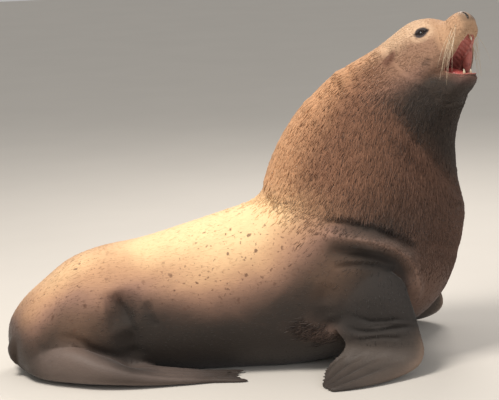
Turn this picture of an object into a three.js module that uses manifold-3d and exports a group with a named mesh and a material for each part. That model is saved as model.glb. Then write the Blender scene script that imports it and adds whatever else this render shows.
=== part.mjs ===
// A bull sea lion, life size, sitting up on its fore flippers with its head raised and its mouth
// wide open. Millimetres, +Z up. It faces +X, its left side is +Y, and the origin is the middle of
// the flat of its belly on the floor. Nothing moves: every node is one named piece of a still model.

import * as THREE from 'three';
import { mergeVertices } from 'three/addons/utils/BufferGeometryUtils.js';
import Module from 'manifold-3d';

const wasm = await Module();
wasm.setup();

const CUT_GAP = 0.4; // the thin cut that parts one node from the next
const REACH = 9000; // side of a block larger than the animal

// ---------- Colours of the animal

const coatBuff = new THREE.MeshStandardMaterial({ color: 0xcf9f74, roughness: 0.8, metalness: 0 });
const coatMane = new THREE.MeshStandardMaterial({ color: 0x9c6d4f, roughness: 0.85, metalness: 0 });
const coatDark = new THREE.MeshStandardMaterial({ color: 0x4a3b33, roughness: 0.7, metalness: 0 });
const flipperSkin = new THREE.MeshStandardMaterial({ color: 0x39332e, roughness: 0.6, metalness: 0 });
const eyeGloss = new THREE.MeshStandardMaterial({ color: 0x14100e, roughness: 0.08, metalness: 0 });
const wetPink = new THREE.MeshStandardMaterial({ color: 0xb05a56, roughness: 0.35, metalness: 0 });

// ---------- Lofts: a closed skin over a row of rings

// Catmull-Rom through the rows of a table of numbers, `steps` new rows to each span.
function smoothRows(rows, steps) {
  const out = [];
  for (let i = 0; i < rows.length - 1; i++) {
    const before = rows[Math.max(i - 1, 0)];
    const after = rows[Math.min(i + 2, rows.length - 1)];
    for (let k = 0; k < steps; k++) {
      const t = k / steps;
      out.push(rows[i].map((a, c) => {
        const [p, b, n] = [before[c], rows[i + 1][c], after[c]];
        return a + 0.5 * t * (b - p + t * (2 * p - 5 * a + 4 * b - n + t * (3 * (a - b) + n - p)));
      }));
    }
  }
  out.push([...rows[rows.length - 1]]);
  return out;
}

const middleOf = (ring) =>
  ring.reduce((sum, p) => sum.add(p), new THREE.Vector3()).divideScalar(ring.length);

// Rings of points to a closed solid, with a fan over each end. A grown loft reaches past its ends.
function loft(rings, grow = 0) {
  const around = rings[0].length;
  for (const [end, next] of [[rings[0], rings[1]], [rings.at(-1), rings.at(-2)]]) {
    const outwards = middleOf(end).sub(middleOf(next)).setLength(grow);
    if (grow > 0) end.forEach((p) => p.add(outwards));
  }
  const points = rings.flat();
  const faces = [];
  for (let r = 0; r < rings.length - 1; r++) {
    for (let i = 0; i < around; i++) {
      const a = r * around + i;
      const b = r * around + ((i + 1) % around);
      faces.push(a, b, b + around, a, b + around, a + around);
    }
  }
  for (const [ring, first] of [[rings[0], 0], [rings.at(-1), points.length - around]]) {
    const hub = points.length;
    points.push(middleOf(ring));
    for (let i = 0; i < around; i++) {
      const j = (i + 1) % around;
      if (first === 0) faces.push(hub, first + j, first + i);
      else faces.push(hub, first + i, first + j);
    }
  }
  const geometry = new THREE.BufferGeometry().setFromPoints(points);
  geometry.setIndex(faces);
  return solidFrom(geometry);
}

// One ring: `up` and `side` are the half axes from `centre`. A fullness of 2 is an ellipse, more is
// squarer, and `sag` moves the widest place down the ring.
function ringOf(centre, up, side, around, fullness = 2, sag = 0) {
  return Array.from({ length: around }, (_, i) => {
    const angle = (2 * Math.PI * i) / around;
    const bend = (v) => Math.sign(v) * Math.abs(v) ** (2 / fullness);
    const [s, c] = [bend(Math.sin(angle)), bend(Math.cos(angle))];
    return centre.clone().addScaledVector(up, s).addScaledVector(side, c * (1 - sag * s));
  });
}

// A three.js geometry to a solid, turned the right way out.
function solidFrom(geometry) {
  const bare = geometry.clone();
  bare.deleteAttribute('normal');
  bare.deleteAttribute('uv');
  const merged = mergeVertices(bare, 1e-3);
  const vertProperties = merged.attributes.position.array;
  const triVerts = new Uint32Array(merged.index.array);
  const made = new wasm.Manifold(new wasm.Mesh({ numProp: 3, vertProperties, triVerts }));
  if (made.volume() >= 0) return made;
  for (let i = 0; i < triVerts.length; i += 3) {
    [triVerts[i + 1], triVerts[i + 2]] = [triVerts[i + 2], triVerts[i + 1]];
  }
  return new wasm.Manifold(new wasm.Mesh({ numProp: 3, vertProperties, triVerts }));
}

function geometryFrom(solid) {
  const mesh = solid.getMesh();
  const geometry = new THREE.BufferGeometry();
  geometry.setAttribute('position', new THREE.BufferAttribute(mesh.vertProperties, 3));
  geometry.setIndex(new THREE.BufferAttribute(mesh.triVerts, 1));
  return geometry;
}

// The largest body of a cut solid: slivers left beside a cut are dropped.
function mainBody(solid) {
  return solid.decompose().reduce((best, s) => (s.volume() > best.volume() ? s : best));
}

// The part of a solid ahead of every one of some planes, short of them by half a cut.
function within(solid, planes) {
  return mainBody(planes.reduce((rest, plane) => ahead(rest, plane, CUT_GAP / 2), solid));
}

// What is left of a solid without that part, short of it by the other half of the cut.
function without(solid, planes) {
  return solid.subtract(planes.reduce((rest, plane) => ahead(rest, plane, -CUT_GAP / 2), everywhere()));
}

function ahead(solid, [at, normal], clearance) {
  const n = normal.clone().normalize();
  return solid.trimByPlane(n.toArray(), n.dot(at) + clearance);
}

const everywhere = () => solidFrom(new THREE.BoxGeometry(REACH, REACH, REACH));

function onTheFloor(solid) {
  const ground = new THREE.BoxGeometry(REACH, REACH, REACH);
  ground.translate(0, 0, -REACH / 2);
  return solid.subtract(solidFrom(ground));
}

// ---------- Body and neck, as a back line, a belly line and a half width

// back x, z, y, belly x, z, y, half width, turn of the ring to the right in degrees
const BODY = [
  [-1112, 205, -190, -1112, 120, -190, 45, -24],
  [-1088, 290, -182, -1092, 50, -182, 146, -22],
  [-1022, 380, -165, -1028, 0, -165, 218, -19],
  [-930, 460, -135, -940, -30, -135, 264, -15],
  [-795, 556, -92, -805, -38, -92, 302, -11],
  [-640, 605, -52, -640, -38, -52, 326, -7],
  [-450, 634, -20, -445, -38, -20, 350, -3],
  [-230, 693, -4, -215, -38, -4, 372, 0],
  [-20, 755, 0, 40, -38, 0, 390, 0],
  [105, 798, 0, 300, -34, 0, 400, 0],
  [158, 855, 0, 560, 14, 0, 404, 0],
  [184, 940, 0, 810, 110, 0, 406, 0],
  [222, 1032, 0, 1015, 262, 0, 396, 0],
  [272, 1128, 2, 1132, 480, 0, 374, 3],
  [342, 1228, 5, 1159, 702, -10, 340, 6],
  [440, 1330, 8, 1132, 902, -40, 298, 11],
  [562, 1432, 8, 1118, 1065, -90, 258, 18],
  [690, 1499, 5, 1132, 1188, -150, 216, 26],
  [800, 1556, 0, 1160, 1286, -200, 172, 32],
  [838, 1548, -20, 1142, 1340, -195, 126, 34],
];
const BODY_AROUND = 24;
const BODY_FULLNESS = 2.25;
const BODY_SAG = 0.1;

function bodyLoft(grow = 0) {
  const rings = smoothRows(BODY, 2).map(([bx, bz, by, vx, vz, vy, half, turn]) => {
    const back = new THREE.Vector3(bx, by, bz);
    const belly = new THREE.Vector3(vx, vy, vz);
    const centre = back.clone().add(belly).divideScalar(2);
    const up = back.sub(belly).divideScalar(2);
    const angle = THREE.MathUtils.degToRad(-turn);
    const side = new THREE.Vector3(0, half + grow, 0).applyAxisAngle(Z_AXIS, angle);
    up.setLength(up.length() + grow);
    return ringOf(centre, up, side, BODY_AROUND, BODY_FULLNESS, BODY_SAG);
  });
  return loft(rings, grow);
}

const Z_AXIS = new THREE.Vector3(0, 0, 1);

// ---------- Head, in its own frame: forward along the snout, up the brow, across to the left

const HEAD_AT = new THREE.Vector3(860, -15, 1425);
const HEAD_PITCH = THREE.MathUtils.degToRad(35);
const HEAD_YAW = THREE.MathUtils.degToRad(-34);
const HEAD_ROLL = THREE.MathUtils.degToRad(-8);
const headFrame = new THREE.Matrix4().compose(
  HEAD_AT,
  new THREE.Quaternion().setFromEuler(new THREE.Euler(HEAD_ROLL, -HEAD_PITCH, HEAD_YAW, 'ZYX')),
  new THREE.Vector3(1, 1, 1),
);
const inHead = (forward, up, across = 0) =>
  new THREE.Vector3(forward, across, up).applyMatrix4(headFrame);
const headAxis = (forward, up, across = 0) =>
  new THREE.Vector3(forward, across, up).transformDirection(headFrame);

// forward, top, bottom, half width: occiput, crown, brow, stop, whisker pads, nose
const SKULL = [
  [-190, 120, -190, 150],
  [-90, 146, -215, 176],
  [10, 152, -222, 174],
  [90, 153, -218, 162],
  [150, 154, -212, 149],
  [206, 147, -202, 137],
  [255, 128, -186, 124],
  [295, 103, -166, 112],
  [330, 70, -148, 103],
  [362, 48, -134, 98],
  [395, 48, -114, 94],
  [428, 45, -84, 84],
  [454, 36, -64, 66],
  [472, 14, -42, 40],
  [481, -8, -24, 14],
];
const SKULL_AROUND = 18;

// The lower jaw is dropped by the gape. Its rows run along the jaw from the corner of the mouth.
const MOUTH_CORNER = [270, -182];
const GAPE = THREE.MathUtils.degToRad(40);
// along the jaw, lip, underside, half width
const JAW = [
  [-160, 40, -200, 128],
  [-95, 28, -208, 128],
  [-35, 12, -196, 120],
  [20, 2, -170, 105],
  [58, 0, -134, 90],
  [84, 3, -90, 74],
  [103, 2, -58, 56],
  [116, -6, -42, 38],
  [123, -17, -32, 18],
];
const JAW_AROUND = 14;

const alongJaw = (along, up, across = 0) => {
  const [c, s] = [Math.cos(GAPE), Math.sin(GAPE)];
  return inHead(MOUTH_CORNER[0] + along * c + up * s, MOUTH_CORNER[1] - along * s + up * c, across);
};

// The cavity of the open mouth, from the throat to behind the front teeth.
// forward, palate, floor, half width
const CAVITY = [
  [140, -128, -152, 18],
  [180, -112, -178, 46],
  [225, -98, -202, 62],
  [262, -88, -214, 68],
  [300, -78, -234, 66],
  [330, -70, -248, 60],
  [356, -66, -240, 60],
  [385, -58, -236, 58],
  [410, -56, -232, 48],
  [426, -60, -228, 30],
];
const CAVITY_AROUND = 14;
// The slack lip and cheek on the left, pulled further forward over the corner of the mouth.
const CHEEK_AT = [322, -144, 75];
const CHEEK_SIZE = [98, 30, 20];
const CHEEK_SLOPE = THREE.MathUtils.degToRad(-50);

function loftInHead(rows, steps, around, place, grow = 0, fullness = 2.3, sag = 0) {
  const rings = smoothRows(rows, steps).map(([forward, top, bottom, half]) => {
    const centre = place(forward, (top + bottom) / 2);
    const up = place(forward, top + grow).sub(centre);
    const side = place(forward, (top + bottom) / 2, half + grow).sub(centre);
    return ringOf(centre, up, side, around, fullness, sag);
  });
  return loft(rings, Math.max(grow, 0));
}

const skullLoft = (grow = 0) => loftInHead(SKULL, 2, SKULL_AROUND, inHead, grow, 2.3, 0.22);
const jawLoft = (grow = 0) => loftInHead(JAW, 2, JAW_AROUND, alongJaw, grow);
const cavityLoft = (grow = 0) => loftInHead(CAVITY, 1, CAVITY_AROUND, inHead, grow, 2.6);

// The pads the whiskers grow from, one each side of the nose.
const PAD_AT = [396, -44, 47];
const PAD_SIZE = [64, 54, 50];
const PAD_SLOPE = THREE.MathUtils.degToRad(-12);

function ballInHead([forward, up, across], [long, high, thick], slope, grow) {
  const ball = new THREE.SphereGeometry(1, 10, 7);
  ball.scale(long + grow, thick + grow, high + grow);
  ball.rotateY(slope);
  return solidFrom(ball.translate(forward, across, up).applyMatrix4(headFrame));
}

const cheek = (grow = 0) => ballInHead(CHEEK_AT, CHEEK_SIZE, CHEEK_SLOPE, grow);
const onSide = ([forward, up, across], side) => [forward, up, side * across];
const pad = (side, grow = 0) => ballInHead(onSide(PAD_AT, side), PAD_SIZE, PAD_SLOPE, grow);

// ---------- Flippers and tail, as a leading edge, a trailing edge and a thickness

// leading x, y, z, trailing x, y, z, thickness. The right fore flipper, from the armpit down the
// forearm, over the bent wrist and out along the hand, which lies back and outwards on the floor.
const FORE_FLIPPER = [
  [770, -240, 560, 420, -200, 500, 190],
  [818, -345, 490, 400, -270, 430, 200],
  [846, -402, 388, 405, -325, 345, 190],
  [876, -434, 285, 455, -345, 262, 158],
  [898, -455, 190, 498, -392, 200, 124],
  [908, -475, 112, 528, -398, 150, 106],
  [868, -520, 52, 510, -410, 108, 92],
  [770, -592, 26, 464, -420, 70, 76],
  [646, -660, 16, 428, -478, 44, 56],
  [532, -702, 11, 408, -552, 24, 38],
  [442, -712, 7, 398, -622, 12, 22],
];
// The right hind flipper, turned forwards under the animal: heel, foot, and webbed toes.
const HIND_FLIPPER = [
  [-1052, -270, 58, -1015, -150, 58, 92],
  [-1004, -352, 70, -940, -190, 98, 170],
  [-915, -425, 80, -852, -225, 120, 216],
  [-805, -478, 84, -770, -275, 120, 212],
  [-680, -522, 76, -670, -312, 100, 170],
  [-545, -538, 56, -540, -314, 74, 116],
  [-420, -532, 36, -420, -310, 54, 78],
  [-290, -514, 23, -295, -308, 36, 52],
  [-175, -492, 15, -185, -310, 24, 34],
  [-95, -470, 10, -100, -322, 16, 24],
];
const TOES = 5;
const TOE_LENGTH = [150, 118, 112, 122, 142]; // past the web, from the leading edge to the trailing one
const TOE_WIDTH = [46, 30, 28, 30, 42];
const TOE_THICK = 24;
const CLAW_LENGTH = 22; // on the three middle toes
const TAIL = [
  // x, y, z, half width, half thickness: hanging behind between the heels
  [-1040, -178, 215, 52, 34],
  [-1094, -200, 180, 46, 30],
  [-1126, -214, 130, 34, 22],
  [-1134, -218, 84, 20, 14],
  [-1130, -216, 58, 8, 6],
];

function flipperRings(rows, steps, around, grow = 0) {
  const fine = smoothRows(rows, steps);
  const middle = fine.map((r) => new THREE.Vector3(r[0] + r[3], r[1] + r[4], r[2] + r[5]).divideScalar(2));
  return fine.map((row, i) => {
    const chord = new THREE.Vector3(row[0] - row[3], row[1] - row[4], row[2] - row[5]).divideScalar(2);
    const along = middle[Math.min(i + 1, fine.length - 1)].clone().sub(middle[Math.max(i - 1, 0)]);
    const across = along.cross(chord).normalize();
    return bladeRing(middle[i], chord, across, row[6] / 2 + grow, around);
  });
}

// A flipper's section: thickest a third of the way back from the leading edge, thin behind.
function bladeRing(centre, chord, across, halfThick, around) {
  return Array.from({ length: around }, (_, i) => {
    const angle = (2 * Math.PI * i) / around;
    const fore = Math.cos(angle);
    const taper = 0.72 + 0.28 * fore;
    return centre.clone()
      .addScaledVector(chord, fore)
      .addScaledVector(across, Math.sin(angle) * halfThick * taper);
  });
}

const foreFlipper = () => loft(flipperRings(FORE_FLIPPER, 2, 12));

function hindFlipper() {
  let foot = loft(flipperRings(HIND_FLIPPER, 1, 10));
  const end = HIND_FLIPPER.at(-1);
  const lead = new THREE.Vector3(...end.slice(0, 3));
  const trail = new THREE.Vector3(...end.slice(3, 6));
  for (let i = 0; i < TOES; i++) {
    const place = (i + 0.5) / TOES;
    const root = lead.clone().lerp(trail, place);
    const spread = (0.5 - place) * 44; // the toes fan out a little
    foot = foot.add(toe(root, TOE_LENGTH[i], TOE_WIDTH[i], spread));
    if (i > 0 && i < TOES - 1) foot = foot.add(claw(root, TOE_LENGTH[i]));
  }
  return foot;
}

function toe(root, length, width, spread) {
  const shape = [[-90, 0.9, 1], [0, 1, 1], [0.7 * length, 0.8, 0.7], [length, 0.3, 0.2]];
  const rings = shape.map(([along, wide, thick]) => {
    const outwards = (-spread * Math.max(along, 0)) / length;
    const centre = root.clone().add(new THREE.Vector3(along, outwards, -along * 0.02));
    const up = new THREE.Vector3(0, 0, (TOE_THICK / 2) * thick);
    return ringOf(centre, up, new THREE.Vector3(0, (width / 2) * wide, 0), 6);
  });
  return loft(rings);
}

function claw(root, length) {
  const start = root.clone().add(new THREE.Vector3(0.42 * length, 0, TOE_THICK * 0.32));
  const rings = [[0, 5], [0.6, 4.5], [1, 1.2]].map(([t, r]) => {
    const centre = start.clone().add(new THREE.Vector3(CLAW_LENGTH * t, 0, 2 - 4 * t * t));
    return ringOf(centre, new THREE.Vector3(0, 0, r), new THREE.Vector3(0, r, 0), 6);
  });
  return loft(rings);
}

function tailLoft(grow = 0) {
  const rings = smoothRows(TAIL, 1).map(([x, y, z, half, thick]) =>
    ringOf(
      new THREE.Vector3(x, y, z),
      new THREE.Vector3(-0.85, -0.35, 0.4).multiplyScalar(thick + grow),
      new THREE.Vector3(-0.38, 0.92, 0).multiplyScalar(half + grow),
      10,
    ));
  return loft(rings);
}

// The other side's flipper is the mirror image, moved along the body.
const mirrored = (solid, shift) => solid.mirror([0, 1, 0]).translate(shift);
const LEFT_FORE_SHIFT = [192, -25, 0];
const LEFT_HEEL = [-950, 0, 0];
const LEFT_HIND_SHIFT = [0, -300, 0];
const LEFT_HIND_TURN = 24; // degrees: the hindquarters curl to the right, so this foot splays out

function turned(solid, pivot, degrees) {
  const back = pivot.map((v) => -v);
  return solid.translate(back).rotate([0, 0, degrees]).translate(pivot);
}

// ---------- Eyes, ears, teeth and tongue

const EYE_RADIUS = 24;
const EYE_AT = [250, 38, 80]; // forward, up, across, to the ball's centre
const EYE_HOLLOW = 31; // half width of the dish the eye lies in
const EYE_SOCKET = [12, 6, 33]; // from the ball's centre to the dish's
const EAR_ROOT = [88, 30, 134];
const EAR_TIP = [44, 2, 184];
const EAR_WIDE = 15;
const EAR_THICK = 9;
const CANINES = {
  upper: { at: [408, -70, 38], length: 34, radius: 9 },
  lower: { at: [68, -12, 30], length: 36, radius: 8.5 },
};

const eyeBall = (side, grow = 0) => {
  const ball = new THREE.SphereGeometry(EYE_RADIUS + grow, 12, 8);
  return solidFrom(ball.translate(...inHead(EYE_AT[0], EYE_AT[1], side * EYE_AT[2]).toArray()));
};

// The shallow dish in the side of the head, round the eye.
const eyeDish = (side) => {
  const dish = new THREE.SphereGeometry(EYE_HOLLOW, 10, 6);
  const at = EYE_AT.map((v, axis) => (v + EYE_SOCKET[axis]) * (axis === 2 ? side : 1));
  return solidFrom(dish.translate(...inHead(...at).toArray()));
};

// A small rolled ear, lying back along the head and drooping.
function ear(side) {
  const root = inHead(EAR_ROOT[0], EAR_ROOT[1], side * EAR_ROOT[2]);
  const tip = inHead(EAR_TIP[0], EAR_TIP[1], side * EAR_TIP[2]);
  const through = headAxis(0.6, 0.2, side * 0.77);
  const wide = tip.clone().sub(root).cross(through).normalize();
  const rings = [[0, 0.6], [0.3, 0.9], [0.6, 1], [0.85, 0.7], [1, 0.2]].map(([t, size]) => {
    const centre = root.clone().lerp(tip, t);
    const up = wide.clone().multiplyScalar(EAR_WIDE * size);
    return ringOf(centre, up, through.clone().multiplyScalar(EAR_THICK * size), 10);
  });
  return loft(rings);
}

function canine(place, at, length, radius, side, down) {
  const [f, u, a] = at;
  const rings = [[-0.6, 1], [0.1, 1], [0.5, 0.78], [0.82, 0.45], [1, 0.1]].map(([t, r]) => {
    const centre = place(f - 5 * t * t, u + down * length * t, side * a);
    const fore = place(f + 1, u, side * a).sub(place(f, u, side * a)).multiplyScalar(radius * r);
    const across = place(f, u, side * a + 1).sub(place(f, u, side * a)).multiplyScalar(radius * 0.8 * r);
    return ringOf(centre, fore, across, 6);
  });
  return loft(rings);
}

// along the jaw, top, bottom, half width
const TONGUE = [
  [-70, -4, -34, 20],
  [-45, 8, -40, 34],
  [0, 8, -44, 36],
  [50, -2, -44, 32],
  [84, -12, -42, 22],
  [98, -22, -36, 8],
];

// ---------- The whole animal, then its nodes

function flesh(grow = 0) {
  const skull = skullLoft(grow).add(pad(-1, grow)).add(pad(1, grow));
  const solid = bodyLoft(grow).add(skull).add(jawLoft(grow));
  return solid.subtract(cavityLoft(-grow)).add(cheek(grow));
}

const grown = flesh(CUT_GAP);
let whole = onTheFloor(flesh());
for (const side of [-1, 1]) whole = whole.subtract(eyeBall(side, CUT_GAP)).subtract(eyeDish(side));

// The planes of the thin cuts: a point on each and the way its forward side faces.
const NECK_CUT = [inHead(-10, 0), headAxis(1, -0.12)];
const OVER_JAW = [inHead(...MOUTH_CORNER), headAxis(0.05, 1)];
const UNDER_HEAD = [OVER_JAW[0], OVER_JAW[1].clone().negate()];
const THROAT_CUT = [alongJaw(-60, 20), alongJaw(0.9, 0.43).sub(alongJaw(0, 0))];
const MANE_CUT = [new THREE.Vector3(330, 0, 1215), new THREE.Vector3(0.36, 0, 0.93)];
const NAPE_CUT = [new THREE.Vector3(158, 0, 822), new THREE.Vector3(0.42, 0, 0.91)];
const LOIN_CUT = [new THREE.Vector3(-560, 0, 0), new THREE.Vector3(1, 0, 0)];

const headSpan = [NECK_CUT, OVER_JAW];
const jawSpan = [THROAT_CUT, UNDER_HEAD];
let head = within(whole, headSpan);
let lowerJaw = within(whole, jawSpan);
const headless = without(without(whole, headSpan), jawSpan);
const neck = within(headless, [MANE_CUT]);
const chest = within(without(headless, [MANE_CUT]), [NAPE_CUT]);
const trunk = within(without(headless, [NAPE_CUT]), [LOIN_CUT]);
const hindquarters = mainBody(without(headless, [LOIN_CUT]));
for (const side of [-1, 1]) {
  const { upper, lower } = CANINES;
  head = head.add(canine(inHead, upper.at, upper.length, upper.radius, side, -1));
  lowerJaw = lowerJaw.add(canine(alongJaw, lower.at, lower.length, lower.radius, side, 1));
}

const tail = mainBody(tailLoft().subtract(grown));
const tongue = mainBody(
  loftInHead(TONGUE, 1, 12, alongJaw).subtract(grown).subtract(head).subtract(lowerJaw),
);
const clearOfFlesh = (solid) => mainBody(onTheFloor(solid).subtract(grown).subtract(tailLoft(CUT_GAP)));
const rightFore = foreFlipper();
const rightHind = hindFlipper();
const leftHind = turned(mirrored(rightHind, LEFT_HIND_SHIFT), LEFT_HEEL, LEFT_HIND_TURN);

const NODES = [
  ['head', head, coatBuff],
  ['lower_jaw', lowerJaw, coatDark],
  ['neck', neck, coatMane],
  ['chest', chest, coatMane],
  ['trunk', trunk, coatBuff],
  ['hindquarters', hindquarters, coatBuff],
  ['tail', tail, coatDark],
  ['tongue', tongue, wetPink],
  ['fore_flipper_right', clearOfFlesh(rightFore), flipperSkin],
  ['fore_flipper_left', clearOfFlesh(mirrored(rightFore, LEFT_FORE_SHIFT)), flipperSkin],
  ['hind_flipper_right', clearOfFlesh(rightHind), flipperSkin],
  ['hind_flipper_left', clearOfFlesh(leftHind), flipperSkin],
  ['ear_right', mainBody(ear(-1).subtract(grown)), coatMane],
  ['ear_left', mainBody(ear(1).subtract(grown)), coatMane],
  ['eye_right', eyeBall(-1), eyeGloss],
  ['eye_left', eyeBall(1), eyeGloss],
];

const seaLion = new THREE.Group();
for (const [name, solid, material] of NODES) {
  const mesh = new THREE.Mesh(geometryFrom(solid), material);
  mesh.name = name;
  seaLion.add(mesh);
}

export default seaLion;
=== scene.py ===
import math

import bmesh
import bpy
import numpy as np
from mathutils import Euler, Matrix, Vector
from mathutils.bvhtree import BVHTree
from mathutils.kdtree import KDTree


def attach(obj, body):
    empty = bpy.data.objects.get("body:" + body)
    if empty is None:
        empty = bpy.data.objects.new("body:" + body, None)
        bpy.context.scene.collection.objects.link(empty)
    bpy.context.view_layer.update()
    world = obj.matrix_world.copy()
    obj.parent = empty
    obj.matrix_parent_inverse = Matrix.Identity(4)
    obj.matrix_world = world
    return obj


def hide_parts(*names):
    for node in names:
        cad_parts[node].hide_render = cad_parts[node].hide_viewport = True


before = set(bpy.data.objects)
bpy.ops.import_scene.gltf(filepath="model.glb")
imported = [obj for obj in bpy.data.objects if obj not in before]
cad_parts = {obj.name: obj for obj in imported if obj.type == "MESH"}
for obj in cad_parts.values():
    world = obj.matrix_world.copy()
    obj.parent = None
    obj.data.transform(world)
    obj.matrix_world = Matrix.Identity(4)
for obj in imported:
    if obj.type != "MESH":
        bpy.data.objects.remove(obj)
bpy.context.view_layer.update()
mm = 0.001


# shapes: a row of rings is a limb, a neck or a snout

def smoothRows(rows, steps):  # a soft curve through the rows of a table
    rows = np.array(rows, float)
    out = []
    for i in range(len(rows) - 1):
        p, a, b = rows[max(i - 1, 0)], rows[i], rows[i + 1]
        n = rows[min(i + 2, len(rows) - 1)]
        for k in range(steps):
            t = k / steps
            out.append(a + 0.5 * t * (b - p + t * (2 * p - 5 * a + 4 * b - n + t * (3 * (a - b) + n - p))))
    out.append(rows[-1])
    return np.array(out)


def ringOf(centre, up, side, around, fullness=2.0, sag=0.0):
    angle = np.arange(around) * 2 * math.pi / around
    s, c = (np.sign(v) * np.abs(v) ** (2 / fullness) for v in (np.sin(angle), np.cos(angle)))
    return np.asarray(centre) + np.outer(s, up) + np.outer(c * (1 - sag * s), side)


def closedShell(rings):  # quads along the rows, a fan over each end, faces outwards
    rings = np.asarray(rings)
    rows, around = rings.shape[:2]
    points = np.concatenate([rings.reshape(-1, 3), [rings[0].mean(0)], [rings[-1].mean(0)]])
    i = np.arange(around)
    j = (i + 1) % around
    faces = []
    for r in range(rows - 1):
        a = r * around
        faces += np.stack([a + i, a + j, a + around + j, a + around + i], 1).tolist()
    faces += np.stack([np.full(around, rows * around), j, i], 1).tolist()
    last = (rows - 1) * around
    faces += np.stack([np.full(around, rows * around + 1), last + i, last + j], 1).tolist()
    middle = points.mean(0)
    volume = sum(np.dot(points[f[0]] - middle, np.cross(points[f[1]] - middle, points[f[2]] - middle))
                 for f in faces)
    if volume < 0:
        faces = [f[::-1] for f in faces]
    return points, faces


def meshObject(name, points, faces):  # a new object of them, in the scene
    mesh = bpy.data.meshes.new(name)
    mesh.from_pydata(np.asarray(points).tolist(), [], [list(f) for f in faces])
    mesh.update()
    obj = bpy.data.objects.new(name, mesh)
    bpy.context.scene.collection.objects.link(obj)
    return obj


def dropObject(obj):
    mesh = obj.data
    bpy.data.objects.remove(obj)
    bpy.data.meshes.remove(mesh)


def evaluated(obj):  # the object's mesh with its modifiers applied
    bpy.context.view_layer.update()
    graph = bpy.context.evaluated_depsgraph_get()
    return bpy.data.meshes.new_from_object(obj.evaluated_get(graph), preserve_all_data_layers=True,
                                           depsgraph=graph)


def swapMesh(obj):  # its modifiers' result becomes its own mesh
    mesh, old = evaluated(obj), obj.data
    obj.modifiers.clear()
    obj.data = mesh
    bpy.data.meshes.remove(old)


def taken(items, name, width=3, kind=np.float32):  # one value of each of a mesh's items, as an array
    out = np.empty(len(items) * width, kind)
    items.foreach_get(name, out)
    return out.reshape(-1, width)


def pointsOf(mesh):
    return taken(mesh.vertices, "co").astype(float)


def setPoints(mesh, co):
    mesh.vertices.foreach_set("co", np.asarray(co, np.float32).ravel())
    mesh.update()


def normalsOf(mesh):
    return taken(mesh.vertex_normals, "vector").astype(float)


def unit(v):
    return v / np.linalg.norm(v)


def step(x, lo, hi):  # 0 below lo, 1 above hi, eased between
    t = np.clip((np.asarray(x, float) - lo) / (hi - lo), 0, 1)
    return t * t * (3 - 2 * t)


def bump(x, at, width):
    return np.exp(-(((x - at) / width) ** 2))


# the body: back x, z, y, belly x, z, y, half width, turn of the ring to the right, in mm and degrees
body = {
    "rows": [
        [-1112, 205, -190, -1112, 120, -190, 45, -24],
        [-1088, 290, -182, -1092, 50, -182, 146, -22],
        [-1022, 380, -165, -1028, 0, -165, 218, -19],
        [-930, 460, -135, -940, -30, -135, 264, -15],
        [-795, 556, -92, -805, -38, -92, 302, -11],
        [-640, 605, -52, -640, -38, -52, 326, -7],
        [-450, 634, -20, -445, -38, -20, 350, -3],
        [-230, 693, -4, -215, -38, -4, 372, 0],
        [-20, 755, 0, 40, -38, 0, 390, 0],
        [105, 798, 0, 300, -34, 0, 400, 0],
        [158, 855, 0, 560, 14, 0, 404, 0],
        [184, 940, 0, 810, 110, 0, 406, 0],
        [222, 1032, 0, 1015, 262, 0, 396, 0],
        [272, 1128, 2, 1132, 480, 0, 374, 3],
        [342, 1228, 5, 1159, 702, -10, 340, 6],
        [440, 1330, 8, 1132, 902, -40, 298, 11],
        [562, 1432, 8, 1118, 1065, -90, 258, 18],
        [690, 1499, 5, 1132, 1188, -150, 216, 26],
        [800, 1556, 0, 1160, 1286, -200, 172, 32],
        [838, 1548, -20, 1142, 1340, -195, 126, 34],
    ],
    "steps": 8, "around": 96, "fullness": 2.25, "sag": 0.1,
}


def bodyRings():
    rings = []
    for bx, bz, by, vx, vz, vy, half, turn in smoothRows(body["rows"], body["steps"]):
        back, belly = np.array([bx, by, bz]) * mm, np.array([vx, vy, vz]) * mm
        a = math.radians(-turn)
        side = half * mm * np.array([-math.sin(a), math.cos(a), 0])
        rings.append(ringOf((back + belly) / 2, (back - belly) / 2, side, body["around"],
                            body["fullness"], body["sag"]))
    return np.array(rings)


# the head, in its own frame: forward along the snout, up the brow, across to the left
head = {
    "at": [860, -15, 1425], "pitch": 35, "yaw": -34, "roll": -8,
    # forward, top, bottom, half width
    "skull": [
        [-190, 120, -190, 150], [-90, 146, -215, 176], [10, 152, -222, 174], [90, 153, -218, 162],
        [150, 154, -212, 149], [206, 147, -202, 137], [255, 128, -186, 124], [295, 103, -166, 112],
        [330, 70, -148, 103], [362, 48, -134, 98], [395, 48, -114, 94], [428, 45, -84, 84],
        [454, 36, -64, 66], [472, 14, -42, 40], [481, -8, -24, 14],
    ],
    "corner": [270, -182], "gape": 40,
    # along the jaw, lip, underside, half width
    "jaw": [
        [-160, 40, -200, 128], [-95, 28, -208, 128], [-35, 12, -196, 120], [20, 2, -170, 105],
        [58, 0, -134, 90], [84, 3, -90, 74], [103, 2, -58, 56], [116, -6, -42, 38],
        [123, -17, -32, 18],
    ],
    # forward, palate, floor, half width
    "cavity": [
        [140, -128, -152, 18], [180, -112, -178, 46], [225, -98, -202, 62], [262, -88, -214, 68],
        [300, -78, -234, 66], [330, -70, -248, 60], [356, -66, -240, 60], [385, -58, -236, 58],
        [410, -56, -232, 48], [426, -60, -228, 30],
    ],
    "skullGrid": {"steps": 8, "around": 72, "fullness": 2.3, "sag": 0.22},
    "jawGrid": {"steps": 8, "around": 56}, "cavityGrid": {"steps": 6, "around": 40, "fullness": 2.6},
    "cheekAt": [322, -144, 75], "cheekSize": [98, 30, 20], "cheekSlope": -50,
    "padAt": [396, -44, 47], "padSize": [64, 54, 50], "padSlope": -12,
}
headTurn = np.array(Euler([math.radians(head["roll"]), -math.radians(head["pitch"]),
                           math.radians(head["yaw"])], "XYZ").to_matrix())
headAt = np.array(head["at"]) * mm


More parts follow.
